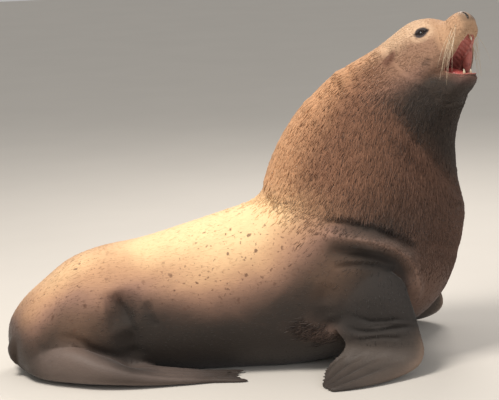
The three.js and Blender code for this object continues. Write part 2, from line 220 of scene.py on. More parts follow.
def inHead(forward, up, across=0.0):  # mm in the head's frame to a point in the scene
    return headAt + headTurn @ (np.array([forward, across, up]) * mm)


def toHead(points):  # and back: forward, up, across in mm, one row for each point
    q = (np.asarray(points) - headAt) @ headTurn / mm
    return q[:, 0], q[:, 2], q[:, 1]


def alongJaw(along, up, across=0.0):
    a = math.radians(head["gape"])
    c, s = math.cos(a), math.sin(a)
    return inHead(head["corner"][0] + along * c + up * s, head["corner"][1] - along * s + up * c, across)


def headRings(rows, place, steps, around, fullness=2.3, sag=0.0):
    rings = []
    for forward, top, bottom, half in smoothRows(rows, steps):
        centre = place(forward, (top + bottom) / 2)
        rings.append(ringOf(centre, place(forward, top) - centre,
                            place(forward, (top + bottom) / 2, half) - centre, around, fullness, sag))
    return np.array(rings)


def ballRings(at, size, slope, rows=24, around=32):  # an ellipsoid in the head's frame
    a = math.radians(slope)
    rings = []
    for k in range(1, rows):
        t = math.pi * k / rows
        angle = np.arange(around) * 2 * math.pi / around
        forward = np.full(around, -math.cos(t)) * size[0]
        up, across = math.sin(t) * np.sin(angle) * size[1], math.sin(t) * np.cos(angle) * size[2]
        f, u = forward * math.cos(a) + up * math.sin(a), -forward * math.sin(a) + up * math.cos(a)
        rings.append([inHead(at[0] + x, at[1] + y, at[2] + z) for x, y, z in zip(f, u, across)])
    return np.array(rings)


# flippers: leading edge x, y, z, trailing edge x, y, z, thickness
foreFlipper = {
    "rows": [
        [770, -240, 560, 420, -200, 500, 190], [818, -345, 490, 400, -270, 430, 200],
        [846, -402, 388, 405, -325, 345, 190], [876, -434, 285, 455, -345, 262, 158],
        [898, -455, 190, 498, -392, 200, 124], [908, -475, 112, 528, -398, 150, 106],
        [868, -520, 52, 510, -410, 108, 92], [770, -592, 26, 464, -420, 70, 76],
        [646, -660, 16, 428, -478, 44, 56], [532, -702, 11, 408, -552, 24, 38],
        [442, -712, 7, 398, -622, 12, 22],
    ],
    "steps": 8, "around": 96, "leftShift": [192, -25, 0],
}
hindFlipper = {
    "rows": [
        [-1052, -270, 58, -1015, -150, 58, 92], [-1004, -352, 70, -940, -190, 98, 170],
        [-915, -425, 80, -852, -225, 120, 216], [-805, -478, 84, -770, -275, 120, 212],
        [-680, -522, 76, -670, -312, 100, 170], [-545, -538, 56, -540, -314, 74, 116],
        [-420, -532, 36, -420, -310, 54, 78], [-290, -514, 23, -295, -308, 36, 52],
        [-175, -492, 15, -185, -310, 24, 34], [-95, -470, 10, -100, -322, 16, 24],
    ],
    "steps": 8, "around": 96,
    "toeLength": [150, 118, 112, 122, 142], "toeWidth": [46, 30, 28, 30, 42], "toeThick": 24,
    "toeSpread": 44, "toeAround": 16,
    "leftShift": [0, -300, 0], "leftHeel": [-950, 0, 0], "leftTurn": 24,
}
toeLine = [np.array(hindFlipper["rows"][-1][k:k + 3]) * mm for k in (0, 3)]  # the toes stand along it
# x, y, z, half width, half thickness
tail = {
    "rows": [
        [-1036, -178, 215, 54, 34], [-1086, -200, 180, 48, 32], [-1108, -212, 132, 38, 26],
        [-1106, -214, 90, 26, 18], [-1092, -212, 60, 12, 8],
    ],
    "up": [-0.85, -0.35, 0.4], "side": [-0.38, 0.92, 0], "steps": 6, "around": 24,
}


flipperTaper = 0.28  # how much thinner the trailing edge is


def flipperRings(rows, steps, around):
    fine = smoothRows(rows, steps)
    lead, trail = fine[:, 0:3] * mm, fine[:, 3:6] * mm
    middle = (lead + trail) / 2
    angle = np.arange(around) * 2 * math.pi / around
    rings = []
    for i, row in enumerate(fine):
        chord = (lead[i] - trail[i]) / 2
        along = middle[min(i + 1, len(fine) - 1)] - middle[max(i - 1, 0)]
        across = unit(np.cross(along, chord))
        thick = row[6] / 2 * mm * (1 - flipperTaper + flipperTaper * np.cos(angle))
        rings.append(middle[i] + np.outer(np.cos(angle), chord) + np.outer(np.sin(angle) * thick, across))
    return np.array(rings)


def toeRings(place, length, width, spread):
    rings = []
    for along, wide, thick in smoothRows([[-90, 0.9, 1], [0, 1, 1], [0.7 * length, 0.8, 0.7],
                                          [0.93 * length, 0.5, 0.42], [length, 0.2, 0.2]], 5):
        out = -spread * max(along, 0) / length
        centre = place + np.array([along, out, -along * 0.02]) * mm
        up = np.array([0, 0, hindFlipper["toeThick"] / 2 * thick * mm])
        rings.append(ringOf(centre, up, np.array([0, width / 2 * wide * mm, 0]), hindFlipper["toeAround"]))
    return np.array(rings)


def toLeft(rings, part):  # the far side's flipper: the mirror image, shifted and turned along the body
    out = np.asarray(rings) * [1, -1, 1] + np.array(part["leftShift"]) * mm
    if "leftTurn" in part:
        a, heel = math.radians(part["leftTurn"]), np.array(part["leftHeel"]) * mm
        c, s = math.cos(a), math.sin(a)
        out = (out - heel) @ np.array([[c, s, 0], [-s, c, 0], [0, 0, 1]]) + heel
    return out


def hindRings():
    rings = {"hind": flipperRings(hindFlipper["rows"], hindFlipper["steps"], hindFlipper["around"])}
    lead, trail = toeLine
    for i, (length, width) in enumerate(zip(hindFlipper["toeLength"], hindFlipper["toeWidth"])):
        t = (i + 0.5) / 5
        spread = (0.5 - t) * hindFlipper["toeSpread"]
        rings[f"toe{i}"] = toeRings(lead + (trail - lead) * t, length, width, spread)
    return rings


def tailRings():
    rings = []
    for x, y, z, half, thick in smoothRows(tail["rows"], tail["steps"]):
        rings.append(ringOf(np.array([x, y, z]) * mm, np.array(tail["up"]) * thick * mm,
                            np.array(tail["side"]) * half * mm, tail["around"]))
    return np.array(rings)


ear = {"root": [88, 30, 134], "tip": [50, 0, 178], "through": [0.6, 0.2, 0.77], "half": 15, "thick": 11,
       "rows": [[0, 0.6], [0.3, 0.95], [0.6, 1], [0.85, 0.75], [1, 0.25]],
       "steps": 5, "around": 24, "groove": 7.0, "grooveWidth": 6}


def earFrame(side):  # its root, its tip, and across it
    root = inHead(ear["root"][0], ear["root"][1], side * ear["root"][2])
    tip = inHead(ear["tip"][0], ear["tip"][1], side * ear["tip"][2])
    through = inHead(*ear["through"][:2], side * ear["through"][2]) - inHead(0, 0, 0)
    along = unit(tip - root)
    wide = unit(np.cross(along, through))
    return root, tip, along, wide, np.cross(wide, along)


def earRings(side):
    root, tip, _, wide, flat = earFrame(side)
    return np.array([ringOf(root + (tip - root) * t, flat * ear["thick"] * size * mm,
                            wide * ear["half"] * size * mm, ear["around"])
                     for t, size in smoothRows(ear["rows"], ear["steps"])])


# shells of the whole animal, with which way the coat lies along their rows
shells = []


def addShell(name, rings, lay, hollow=False):
    shells.append({"name": name, "rings": np.asarray(rings), "lay": lay, "hollow": hollow})


addShell("body", bodyRings(), -1, True)
addShell("skull", headRings(head["skull"], inHead, **head["skullGrid"]), -1, True)
addShell("jaw", headRings(head["jaw"], alongJaw, **head["jawGrid"]), -1, True)
for side in (-1, 1):
    at = head["padAt"]
    addShell("pad", ballRings([at[0], at[1], side * at[2]], head["padSize"], head["padSlope"]), -1, True)
addShell("cheek", ballRings(head["cheekAt"], head["cheekSize"], head["cheekSlope"]), -1)
foreRings = flipperRings(foreFlipper["rows"], foreFlipper["steps"], foreFlipper["around"])
addShell("fore", foreRings, 1)
addShell("foreLeft", toLeft(foreRings, foreFlipper), 1)
for name, rings in hindRings().items():
    addShell(name, rings, 1)
    addShell(name + "Left", toLeft(rings, hindFlipper), 1)
addShell("tail", tailRings(), 1)
addShell("ear", earRings(-1), 1)
addShell("earLeft", earRings(1), 1)

cavityShell = closedShell(headRings(head["cavity"], inHead, **head["cavityGrid"]))
# the joined skin: its grain, its faces once thinned out, how much the body is thinned more than the face
flesh = {"voxel": 7 * mm, "faces": 196000, "thinning": 3.0, "evenRounds": 4, "evenSwell": 1.04}


def joinedShells():  # one closed skin round all the shells, with the open mouth cut out
    cavity = meshObject("cavity", *cavityShell)
    allPoints, allFaces = [], []
    for shell in shells:
        points, faces = closedShell(shell["rings"])
        if shell["hollow"]:
            obj = meshObject(shell["name"], points, faces)
            cut = obj.modifiers.new("mouth", "BOOLEAN")
            cut.object, cut.operation, cut.solver = cavity, "DIFFERENCE", "EXACT"
            mesh = evaluated(obj)
            points, faces = pointsOf(mesh), [tuple(p.vertices) for p in mesh.polygons]
            bpy.data.meshes.remove(mesh)
            dropObject(obj)
        start = sum(len(p) for p in allPoints)
        allPoints.append(points)
        allFaces += [[start + v for v in f] for f in faces]
    dropObject(cavity)
    skin = meshObject("skin", np.concatenate(allPoints), allFaces)
    remesh = skin.modifiers.new("remesh", "REMESH")
    remesh.mode, remesh.voxel_size, remesh.adaptivity = "VOXEL", flesh["voxel"], 0
    swapMesh(skin)
    print("one skin:", len(skin.data.polygons), "faces")
    return skin


# smoothing and sculpting work on the vertices of the one skin


def edgesOf(mesh):
    return taken(mesh.edges, "vertices", 2, np.int32)


def neighbourMean(values, ends, count):  # each vertex's neighbours' mean
    total = np.zeros_like(values)
    for a, b in ((0, 1), (1, 0)):
        for k in range(values.shape[1]):
            total[:, k] += np.bincount(ends[:, a], values[ends[:, b], k], len(values))
    return total / count


def smoothed(values, ends, amount=0.5, rounds=1, keep=0.0):  # keep swells it back, so that it doesn't shrink
    amount = np.broadcast_to(np.asarray(amount, float), len(values))
    touched = (amount[ends] > 0).any(1)
    used, local = np.unique(ends[touched], return_inverse=True)  # only where there is something to smooth
    local, amount = local.reshape(-1, 2), amount[used][:, None]
    part = values[used]
    count = np.maximum(np.bincount(local.ravel(), minlength=len(used)), 1)[:, None]
    for _ in range(rounds):
        part = part + amount * (neighbourMean(part, local, count) - part)
        if keep:
            part = part - keep * amount * (neighbourMean(part, local, count) - part)
    values = values.copy()
    values[used] = part
    return values


farOff = 9.0  # in metres, further than anything


def fromLine(points, co):  # distance of each vertex from a path, and how far along it the nearest place is
    line = np.asarray(points, float) * mm
    best, where, gone = np.full(len(co), farOff), np.zeros(len(co)), 0.0
    for a, b in zip(line[:-1], line[1:]):
        d = b - a
        length = np.linalg.norm(d)
        t = np.clip((co - a) @ d / length**2, 0, 1)
        far = np.linalg.norm(co - a - t[:, None] * d, axis=1)
        near = far < best
        best[near], where[near] = far[near], gone + t[near] * length
        gone += length
    return best, where / gone


def refine(mesh, chosen):  # halves the faces of the chosen vertices
    bm = bmesh.new()
    bm.from_mesh(mesh)
    bm.verts.ensure_lookup_table()
    edges = [e for e in bm.edges if chosen[e.verts[0].index] and chosen[e.verts[1].index]]
    bmesh.ops.subdivide_edges(bm, edges=edges, cuts=1, use_grid_fill=True)
    bm.to_mesh(mesh)
    bm.free()
    mesh.update()


headEdge = {"behind": 60, "under": -330, "slope": 0.55, "soft": 50, "softUnder": 40}  # in the head's mm

# places where two shells meet and the flesh rounds over the join: x, y, z, radius in mm, rounds
softJoins = [
    [620, -380, 540, 240, 14], [820, 375, 520, 240, 14],  # the tops of the arms
    [400, -360, 300, 130, 10], [592, 345, 300, 130, 10],  # armpits
    [700, -330, 230, 200, 8],
    [-900, -330, 170, 220, 12], [-880, 120, 170, 220, 12],  # thighs into the hind flippers
    [1000, -170, 1190, 170, 18], [1060, -60, 1250, 150, 18],  # jaw into throat
    [900, -60, 1500, 150, 12], [960, -250, 1340, 110, 12],  # head into neck
    [1080, -210, 1600, 60, 4], [-1060, -180, 200, 110, 10],  # whisker pads, root of the tail
]


def headZone(co, margin=0.0):  # 1 on the head and inside the mouth
    forward, up, across = toHead(co)
    behind, under = headEdge["behind"] - margin, headEdge["under"] - margin
    return step(forward, behind, behind + headEdge["soft"]) \
        * step(up + headEdge["slope"] * forward, under, under + headEdge["softUnder"])


def roundJoins(skin):
    mesh = skin.data
    co, ends = pointsOf(mesh), edgesOf(mesh)
    co = smoothed(co, ends, 0.5, flesh["evenRounds"], keep=flesh["evenSwell"])
    for x, y, z, radius, rounds in softJoins:
        far = np.linalg.norm(co - np.array([x, y, z]) * mm, axis=1) / (radius * mm)
        co = smoothed(co, ends, 0.6 * (1 - step(far, 0.5, 1)), rounds)
    setPoints(mesh, co)
    refine(mesh, headZone(co, 40) > 0.3)
    co, ends = pointsOf(mesh), edgesOf(mesh)
    co = smoothed(co, ends, 0.5 * headZone(co), 2, keep=1.0)
    setPoints(mesh, co)
    print("joins rounded, head refined:", len(mesh.polygons), "faces")


def nearestOnShells(co):  # for each vertex: the nearest shell, how far along it, its angle, the lay there
    tree = KDTree(sum(s["rings"].shape[0] * s["rings"].shape[1] for s in shells))
    rows, angles, owner, lay = [], [], [], []
    for k, shell in enumerate(shells):
        rings = shell["rings"]
        n, around = rings.shape[:2]
        along = np.gradient(rings, axis=0) * shell["lay"]
        along /= np.maximum(np.linalg.norm(along, axis=2, keepdims=True), 1e-9)
        rows.append(np.repeat(np.arange(n) / (n - 1), around))
        angles.append(np.tile(np.arange(around) / around, n))
        owner.append(np.full(n * around, k))
        lay.append(along.reshape(-1, 3))
        start = sum(len(a) for a in rows[:-1])
        for i, p in enumerate(rings.reshape(-1, 3)):
            tree.insert(p, start + i)
    tree.balance()
    index = np.array([tree.find(p)[1] for p in co])
    return {"shell": np.concatenate(owner)[index], "row": np.concatenate(rows)[index],
            "angle": np.concatenate(angles)[index], "lay": np.concatenate(lay)[index]}


def onShell(near, start):  # the vertices nearest to the shells whose names begin so
    return np.isin(near["shell"], [k for k, shell in enumerate(shells) if shell["name"].startswith(start)])


def acrossOf(near):  # across a flipper: 1 at its leading edge, 0 at its trailing edge
    return 0.5 + 0.5 * np.cos(near["angle"] * 2 * math.pi)


def fingerComb(near):  # 1 on each finger bone, -1 between them
    return np.cos(2 * math.pi * (4.5 * acrossOf(near)**0.85 + 0.1))


def toeComb(near):
    return -np.cos(2 * math.pi * 5 * acrossOf(near))


# folds and creases: depth and width in mm (a ridge is a depth below 0), then x, y, z along it
folds = {
    "shoulderRidge": [-40, 30, [[400, -378, 690], [547, -389, 676], [695, -390, 648], [785, -385, 612],
                                [848, -370, 560], [880, -352, 495], [890, -325, 409], [884, -279, 300]]],
    "underRidge": [36, 27, [[440, -390, 606], [614, -398, 600], [715, -395, 580], [795, -385, 540],
                            [838, -375, 480], [856, -370, 420]]],
    "aboveRidge": [20, 28, [[430, -370, 760], [540, -384, 742], [660, -388, 710], [770, -380, 668],
                            [850, -360, 610], [905, -335, 530]]],
    "armTop": [20, 14, [[470, -404, 520], [540, -404, 538], [614, -405, 540], [715, -400, 528],
                        [782, -392, 500], [815, -378, 462], [838, -385, 405], [858, -400, 344],
                        [872, -400, 270]]],
    "armpit": [24, 50, [[470, -390, 470], [440, -380, 380], [440, -375, 290], [475, -365, 205]]],
    "armpitSharp": [6, 12, [[450, -390, 410], [436, -382, 330], [450, -372, 265], [480, -362, 190]]],
    "hipHollow": [44, 58, [[-570, -335, 470], [-548, -355, 350], [-520, -365, 240], [-505, -372, 130],
                            [-500, -374, 40]]],
    "hipFold": [11, 15, [[-592, -336, 440], [-560, -350, 400], [-530, -360, 350], [-508, -364, 300],
                        [-474, -370, 214]]],
    "hipFoldBack": [7, 16, [[-625, -325, 449], [-600, -350, 390], [-590, -365, 310], [-590, -374, 240]]],
    "hipFoldFore": [6, 16, [[-425, -349, 397], [-412, -360, 345], [-392, -368, 300], [-374, -370, 262]]],
    "ankle": [16, 18, [[-880, -380, 240], [-830, -391, 246], [-780, -391, 238], [-735, -389, 214],
                       [-700, -385, 180], [-640, -385, 150], [-540, -385, 112], [-440, -382, 84],
                       [-340, -380, 60]]],
    "heel": [8, 20, [[-960, -330, 230], [-930, -370, 180], [-910, -400, 120], [-905, -420, 60]]],
    "wristUpper": [10, 10, [[520, -395, 300], [575, -424, 284], [651, -445, 264], [720, -462, 268],
                           [769, -471, 276], [830, -462, 270], [890, -446, 256]]],
    "wristLower": [14, 11, [[530, -402, 238], [590, -432, 216], [651, -449, 214], [700, -460, 222],
                           [767, -476, 236], [830, -470, 238], [893, -453, 226]]],
    "wristHand": [9, 10, [[545, -420, 172], [600, -440, 170], [657, -456, 182], [715, -467, 188],
                          [772, -478, 186], [840, -470, 192], [892, -462, 188]]],
    "wristShort": [7, 9, [[640, -449, 244], [700, -462, 246], [770, -474, 256]]],
    "elbow": [5, 16, [[560, -398, 360], [620, -418, 335], [700, -436, 330], [800, -446, 345]]],
    "chestFold": [8, 30, [[900, -330, 640], [985, -300, 600], [1060, -220, 560], [1100, -110, 530],
                          [1112, 0, 520], [1100, 110, 530], [1060, 220, 560]]],
    "throatFold": [12, 34, [[760, -262, 1330], [834, -290, 1216], [928, -288, 1089], [1028, -234, 977],
                            [1110, -137, 857], [1140, 0, 800]]],
    "napeRollA": [5, 26, [[640, -230, 1330], [610, -120, 1440], [600, 0, 1470], [610, 120, 1440],
                          [640, 220, 1330]]],
    "napeRollB": [4, 26, [[520, -270, 1190], [450, -150, 1320], [430, 0, 1345], [450, 150, 1320]]],
}
# how far forward of its mirror image the far side's fold lies, in mm
leftShift = {"throatFold": 0}
leftShift.update(dict.fromkeys(("hipHollow", "hipFold", "hipFoldBack", "hipFoldFore", "ankle"), 40))
leftShift.update(dict.fromkeys(("shoulderRidge", "aboveRidge", "underRidge", "armTop", "armpit", "armpitSharp",
                                "wristUpper", "wristLower", "wristHand", "wristShort", "elbow"), 192))
# in mm: finger bones, toe bones, notches between the fingertips, slow lumps; a fold narrower than sharp is
# worked on smaller faces, as far out as reach times its width
sculpt = {"fingers": 8.0, "toes": 5.5, "notch": 13, "lumps": 2.5, "sharp": 20, "reach": 1.6}
bulges = [  # height, radius, x, y, z in mm: thigh, shoulder, breast, brow of the hip
    [30, 150, -760, -370, 300], [30, 150, -720, 330, 300], [12, 150, 640, -400, 640],
    [12, 150, 780, 380, 640], [14, 170, 1110, -60, 700], [10, 120, 700, -440, 420],
    [10, 120, 892, 415, 420], [12, 150, -150, -372, 260], [12, 150, -150, 372, 260],
]


def waves(co, size, seed, count=14):  # slow lumps about that size, in metres, between -1 and 1
    rng = np.random.default_rng(seed)
    total = np.zeros(len(co))
    for _ in range(count):
        d = rng.normal(size=3)
        d *= 2 * math.pi / (size * rng.uniform(0.7, 1.5)) / np.linalg.norm(d)
        total += np.sin(co @ d + rng.uniform(0, 6.28))
    return total / math.sqrt(count)


def bothSides(name):  # a fold's line, and the far side's where it has one
    line = folds[name][2]
    return [line] + ([[[x + leftShift[name], -y, z] for x, y, z in line]] if name in leftShift else [])


def foldPush(co):
    push = np.zeros(len(co))
    for name, (depth, width, _) in folds.items():
        for points in bothSides(name):
            far, along = fromLine(points, co)
            ends = step(along, 0, 0.22) * step(1 - along, 0, 0.22)
            wander = 1 + 0.25 * np.sin(along * 9 + depth) + 0.15 * np.sin(along * 23)
            push -= depth * mm * np.exp(-((far / (width * mm)) ** 2)) * ends * wander
    for height, radius, x, y, z in bulges:
        far = np.linalg.norm(co - np.array([x, y, z]) * mm, axis=1)
        push += height * mm * np.exp(-((far / (radius * mm)) ** 2))
    return push


def digitPush(near):  # finger bones and the webs between them
    row = near["row"]
    fingers = fingerComb(near) * step(row, 0.52, 0.74)
    push = onShell(near, "fore") * fingers * sculpt["fingers"] * mm * step(1 - row, 0, 0.06)
    return push + onShell(near, "hind") * (toeComb(near) * step(row, 0.4, 0.75)) * sculpt["toes"] * mm


def tipNotches(near):  # the web between the fingers ends short of their tips
    comb = fingerComb(near) - 0.4
    return near["lay"] * (onShell(near, "fore") * comb * step(near["row"], 0.86, 1.0) * sculpt["notch"] * mm)[:, None]


def refineFolds(co):  # the sharper creases need smaller faces
    best = np.full(len(co), farOff)
    for name, (_, width, _) in folds.items():
        if width < sculpt["sharp"]:
            for points in bothSides(name):
                best = np.minimum(best, fromLine(points, co)[0] / mm - width * sculpt["reach"])
    return best < 0


def addFolds(skin):
    mesh = skin.data
    refine(mesh, refineFolds(pointsOf(mesh)))
    co, normals, ends = pointsOf(mesh), normalsOf(mesh), edgesOf(mesh)
    co += normals * foldPush(co)[:, None]
    low = co[:, 2] < 0.3  # the flippers' digits are all below this height
    near = nearestOnShells(co[low])
    push = np.zeros(len(co))
    push[low] = digitPush(near)
    notch = np.zeros((len(co), 3))
    notch[low] = tipNotches(near)
    co += smoothed(notch, ends, 0.6 * low, 4)
    push = smoothed(push[:, None], ends, 0.6 * (push != 0), 5)[:, 0]
    push += sculpt["lumps"] * mm * waves(co, 0.4, 3) * (1 - headZone(co))
    co += normals * push[:, None]
    setPoints(mesh, co)
    print("folds and digits:", len(mesh.polygons), "faces")


# the head's own detail, worked in its frame: mouth, lips, eyes, nostrils
headForward, headAcross, headUp = headTurn.T
mouthTree = BVHTree.FromPolygons(cavityShell[0].tolist(), [list(f) for f in cavityShell[1]])
outerTrees = []
for shell in shells:
    if shell["name"] in ("skull", "jaw", "pad", "cheek", "body"):
        points, faces = closedShell(shell["rings"])
        outerTrees.append(BVHTree.FromPolygons(points.tolist(), [list(f) for f in faces]))


def deepIn(tree, p):  # how far inside a closed shell a point lies, below 0 outside
    nearest, normal, _, far = tree.find_nearest(p)
    return far if (p - nearest).dot(normal) < 0 else -far


def mouthDepth(co, zone):  # in mm: above 0 on the walls of the mouth, below 0 outside, near 0 at the lips
    depth = np.full(len(co), -60.0)
    for i in np.nonzero(zone)[0]:
        p = Vector(co[i])
        toMouth = mouthTree.find_nearest(p)[3]
        if toMouth < 0.06:
            depth[i] = (max(deepIn(tree, p) for tree in outerTrees) - toMouth) / mm
    return depth


eye = {"at": [250, 38, 80], "radius": 24.0, "out": [0.30, 0.30, 0.90], "lid": 2.6, "half": 21.5,
       "upper": 13.5, "lower": 11.5, "reach": 46.0, "brow": 5.0, "droop": 0.12, "corner": 2.2,
       "rim": 1.1, "pocket": 5, "edgeRoll": [1.6, 3.2, 2.6], "folds": [[2.2, 8.5, 2.2], [1.2, 14, 2]]}


def eyeFrame(side):  # its middle, then the way to the front corner, up and out
    at = eye["at"]
    out = unit(eye["out"][0] * headForward + eye["out"][1] * headUp + side * eye["out"][2] * headAcross)
    front = headForward - eye["droop"] * headUp
    front = unit(front - front @ out * out)
    return inHead(at[0], at[1], side * at[2]), front, np.cross(out, front) * side * -1, out


def lidGap(x, y):  # below 0 between the lids, 0 on their edges
    half = np.where(y > 0, eye["upper"], eye["lower"])
    return np.abs(y) - half * np.clip(1 - (np.abs(x) / eye["half"]) ** eye["corner"], 0, 1)


def sculptEye(co, side):
    middle, front, above, out = eyeFrame(side)
    q = (co - middle) / mm
    x, y, z = q @ front, q @ above, q @ out
    far = np.hypot(x, y)
    zone = (far < eye["reach"]) & (z > -6)
    ball = eye["radius"] + eye["lid"]
    gap = lidGap(x, y)
    rim = zone & (np.abs(gap) < eye["rim"]) & (np.abs(x) < eye["half"])
    y = np.where(rim, y - np.sign(y) * gap, y)
    far = np.hypot(x, y)
    gap = lidGap(x, y)
    lid = np.sqrt(np.clip(ball**2 - np.minimum(far, 24) ** 2, 0, None)) - 0.6 * np.maximum(far - 24, 0)
    pocket = np.sqrt(np.clip((eye["radius"] - eye["pocket"]) ** 2 - far**2, 0, None))
    # lids: a rounded edge that hugs the ball, a fold behind it, then the old skin
    high, at, width = eye["edgeRoll"]
    rolled = lid + high * bump(gap, at, width)
    rest = np.maximum(z, lid)
    for deep, at, width in eye["folds"]:
        rest = rest - deep * bump(gap, at, width)
    away = step(gap, 2.0, 8.0)
    newZ = np.where(zone, np.where(gap < -0.2, pocket, rolled * (1 - away) + rest * away), z)
    keep = step(far, 26, eye["reach"])
    newZ = newZ * (1 - keep) + z * keep
    moved = middle + (np.outer(x, front) + np.outer(y, above) + np.outer(newZ, out)) * mm
    return np.where(zone[:, None], moved, co)


# grooves and ridges of the face: depth, width in mm, then forward, up, across (out to the side)
faceFolds = {
    "nostril": [10, 6.0, [[456, 24, 13], [466, 12, 15], [472, -3, 19], [470, -16, 24], [464, -26, 30]]],
    "wing": [-3.0, 6, [[452, 10, 30], [458, -8, 36], [452, -30, 42]]],
    "philtrum": [3.0, 3.5, [[480, -18, 0], [474, -36, 0], [462, -58, 0]]],
    "besideNose": [3, 9, [[430, 40, 26], [442, 22, 40], [440, -6, 54]]],
    "stop": [4, 16, [[352, 62, 0], [345, 52, 30], [330, 36, 58]]],
    "padEdge": [6, 11, [[336, 22, 88], [326, -20, 104], [318, -62, 108], [312, -100, 104]]],
    "underEye": [3, 8, [[288, 6, 100], [262, -10, 108], [226, -2, 116]]],
    "cheekHollow": [8, 17, [[236, -92, 118], [222, -106, 120]]],
    "cheekLine": [3.5, 10, [[300, -112, 104], [262, -118, 112], [222, -110, 120], [190, -120, 124]]],
    "cornerA": [4, 6, [[276, -176, 84], [252, -188, 96], [228, -190, 104]]],
    "cornerB": [3, 6, [[280, -196, 84], [258, -212, 94], [236, -222, 100]]],
    "cornerC": [3, 6, [[282, -160, 88], [258, -158, 100], [232, -150, 108]]],
    "jawLine": [-4, 26, [[330, -262, 60], [280, -270, 88], [220, -262, 110]]],
    "jowl": [7, 18, [[300, -312, 40], [240, -318, 78], [190, -300, 104], [150, -260, 128]]],
    "earFront": [3, 9, [[110, 66, 128], [104, 30, 144], [98, 4, 146]]],
}


# in mm: the roll of the lips and its frills, ridges across the palate and pleats up the walls, how far apart
mouthRelief = {"lip": 2.6, "lipAt": -7, "lipWidth": 4.5, "frill": 0.9, "ridge": 0.8, "ridgeEvery": 15,
               "pleat": 1.0, "pleatEvery": 22}


def sculptHead(co, normals, depth):
    forward, up, across = toHead(co)
    side = np.abs(across)
    local = np.stack([forward, up, side], 1)
    push = np.zeros(len(co))
    for deep, width, line in faceFolds.values():
        far, along = fromLine(line, local * mm)
        push -= deep * np.exp(-((far / (width * mm)) ** 2)) * step(along, 0, 0.15) * step(1 - along, 0, 0.15)
    brow = ((forward - 236) / 34) ** 2 + ((up - 82) / 20) ** 2 + ((side - 84) / 40) ** 2
    push += eye["brow"] * np.exp(-brow)
    push *= 1 - step(depth, -2, 3)
    for which in (-1, 1):
        root, tip, along, wide, _ = earFrame(which)
        t, off = (co - root) @ along / np.linalg.norm(tip - root), (co - root) @ wide / mm
        under = step(-(normals @ headUp), -0.2, 0.4) * (np.linalg.norm(co - root, axis=1) < 0.09)
        push -= ear["groove"] * under * bump(off, 0, ear["grooveWidth"]) * step(t, 0.15, 0.5)
    # lips: a soft roll outside the edge, wavier towards the corner
    relief = mouthRelief
    lip = bump(depth, relief["lipAt"], relief["lipWidth"]) * (depth > -30)
    push += lip * (relief["lip"] + relief["frill"] * np.sin(forward / 5.5) * step(330 - forward, 0, 60))
    # palate and throat: ridges across the roof, soft pleats up the walls
    inside = step(depth, 1, 5)
    ridges = np.sin(forward * 2 * math.pi / relief["ridgeEvery"] + 0.02 * across**2)
    pleats = np.sin(forward * 2 * math.pi / relief["pleatEvery"] + up / 26)
    push += inside * relief["ridge"] * ridges * step(-(normals @ headUp), 0.4, 0.8) * step(forward, 200, 240)
    push += inside * relief["pleat"] * pleats * step(np.abs(normals @ headAcross), 0.5, 0.9)
    return push * mm


def toEye(co):  # distance from the nearer eye's middle, in mm
    return np.minimum(*[np.linalg.norm(co - eyeFrame(side)[0], axis=1) / mm for side in (-1, 1)])


def nearEyes(co, radius):
    return toEye(co) < radius


def addFace(skin):
    mesh = skin.data
    co = pointsOf(mesh)
    depth = mouthDepth(co, headZone(co) > 0.3)
    forward, up, across = toHead(co)
    refine(mesh, (np.abs(depth + 3) < 12) | ((forward > 436) & (up > -70)) | nearEyes(co, 52))
    refine(mesh, nearEyes(pointsOf(mesh), 36))
    co, ends = pointsOf(mesh), edgesOf(mesh)
    zone = headZone(co) > 0.3
    co = smoothed(co, ends, 0.5 * zone, 3, keep=1.0)
    depth = mouthDepth(co, zone)
    depth = smoothed(depth[:, None], ends, 0.5 * (depth > -40), 3)[:, 0]
    co = smoothed(co, ends, 0.5 * bump(depth, 0, 8) * (depth > -40), 6)
    setPoints(mesh, co)
    normals = normalsOf(mesh)
    co += normals * sculptHead(co, normals, depth)[:, None]
    for side in (-1, 1):
        co = sculptEye(co, side)
    setPoints(mesh, co)
    print("face:", len(mesh.polygons), "faces")


def thinOut(skin):  # fewer faces where the body is smooth, all of them kept on the face
    mesh = skin.data
    co = pointsOf(mesh)
    fine = headZone(co) * step(toHead(co)[0], 150, 230)
    group = skin.vertex_groups.new(name="plain")
    for weight in np.unique(np.round(1 - fine, 1)):
        group.add(np.nonzero(np.round(1 - fine, 1) == weight)[0].tolist(), float(weight), "REPLACE")
    thin = skin.modifiers.new("thin", "DECIMATE")
    thin.ratio = flesh["faces"] / sum(len(p.vertices) - 2 for p in mesh.polygons)
    thin.vertex_group, thin.vertex_group_factor = group.name, flesh["thinning"]
    swapMesh(skin)
    skin.vertex_groups.clear()
    print("thinned:", len(skin.data.polygons), "faces")


# markings of the coat, as sRGB colours of its parts; the charcoal, dark and throat tones also serve as painted shade
# in hollows, creases and under the jaw, and the ridge tone as a painted highlight along the shoulder
def tint(r, g, b):  # an sRGB colour as Blender's linear one
    v = np.array([r, g, b]) / 255
    return np.where(v <= 0.04045, v / 12.92, ((v + 0.055) / 1.055) ** 2.4)


coat = {name: tint(*colour) for name, colour in {
    "cream": (238, 203, 155), "tan": (190, 147, 112), "rosy": (146, 111, 97), "umber": (92, 70, 58),
    "charcoal": (45, 38, 33), "maneGold": (196, 150, 112), "mane": (134, 96, 74), "maneDark": (100, 71, 56),
    "throat": (54, 44, 37), "breast": (92, 68, 56), "ridge": (136, 108, 94), "dark": (20, 17, 15),
    "crown": (204, 172, 142), "cheek": (146, 112, 90), "muzzle": (180, 143, 112), "nose": (120, 96, 76),
    "ear": (98, 62, 44), "lid": (62, 54, 54), "lip": (96, 70, 64), "mouth": (186, 112, 101),
    "gullet": (118, 54, 49), "gum": (206, 150, 140), "arm": (46, 41, 38), "hand": (78, 68, 61),
    "fingertip": (62, 52, 46), "edge": (134, 112, 96), "hind": (100, 86, 79), "heel": (56, 45, 38),
    "nick": (84, 56, 42),
}.items()}
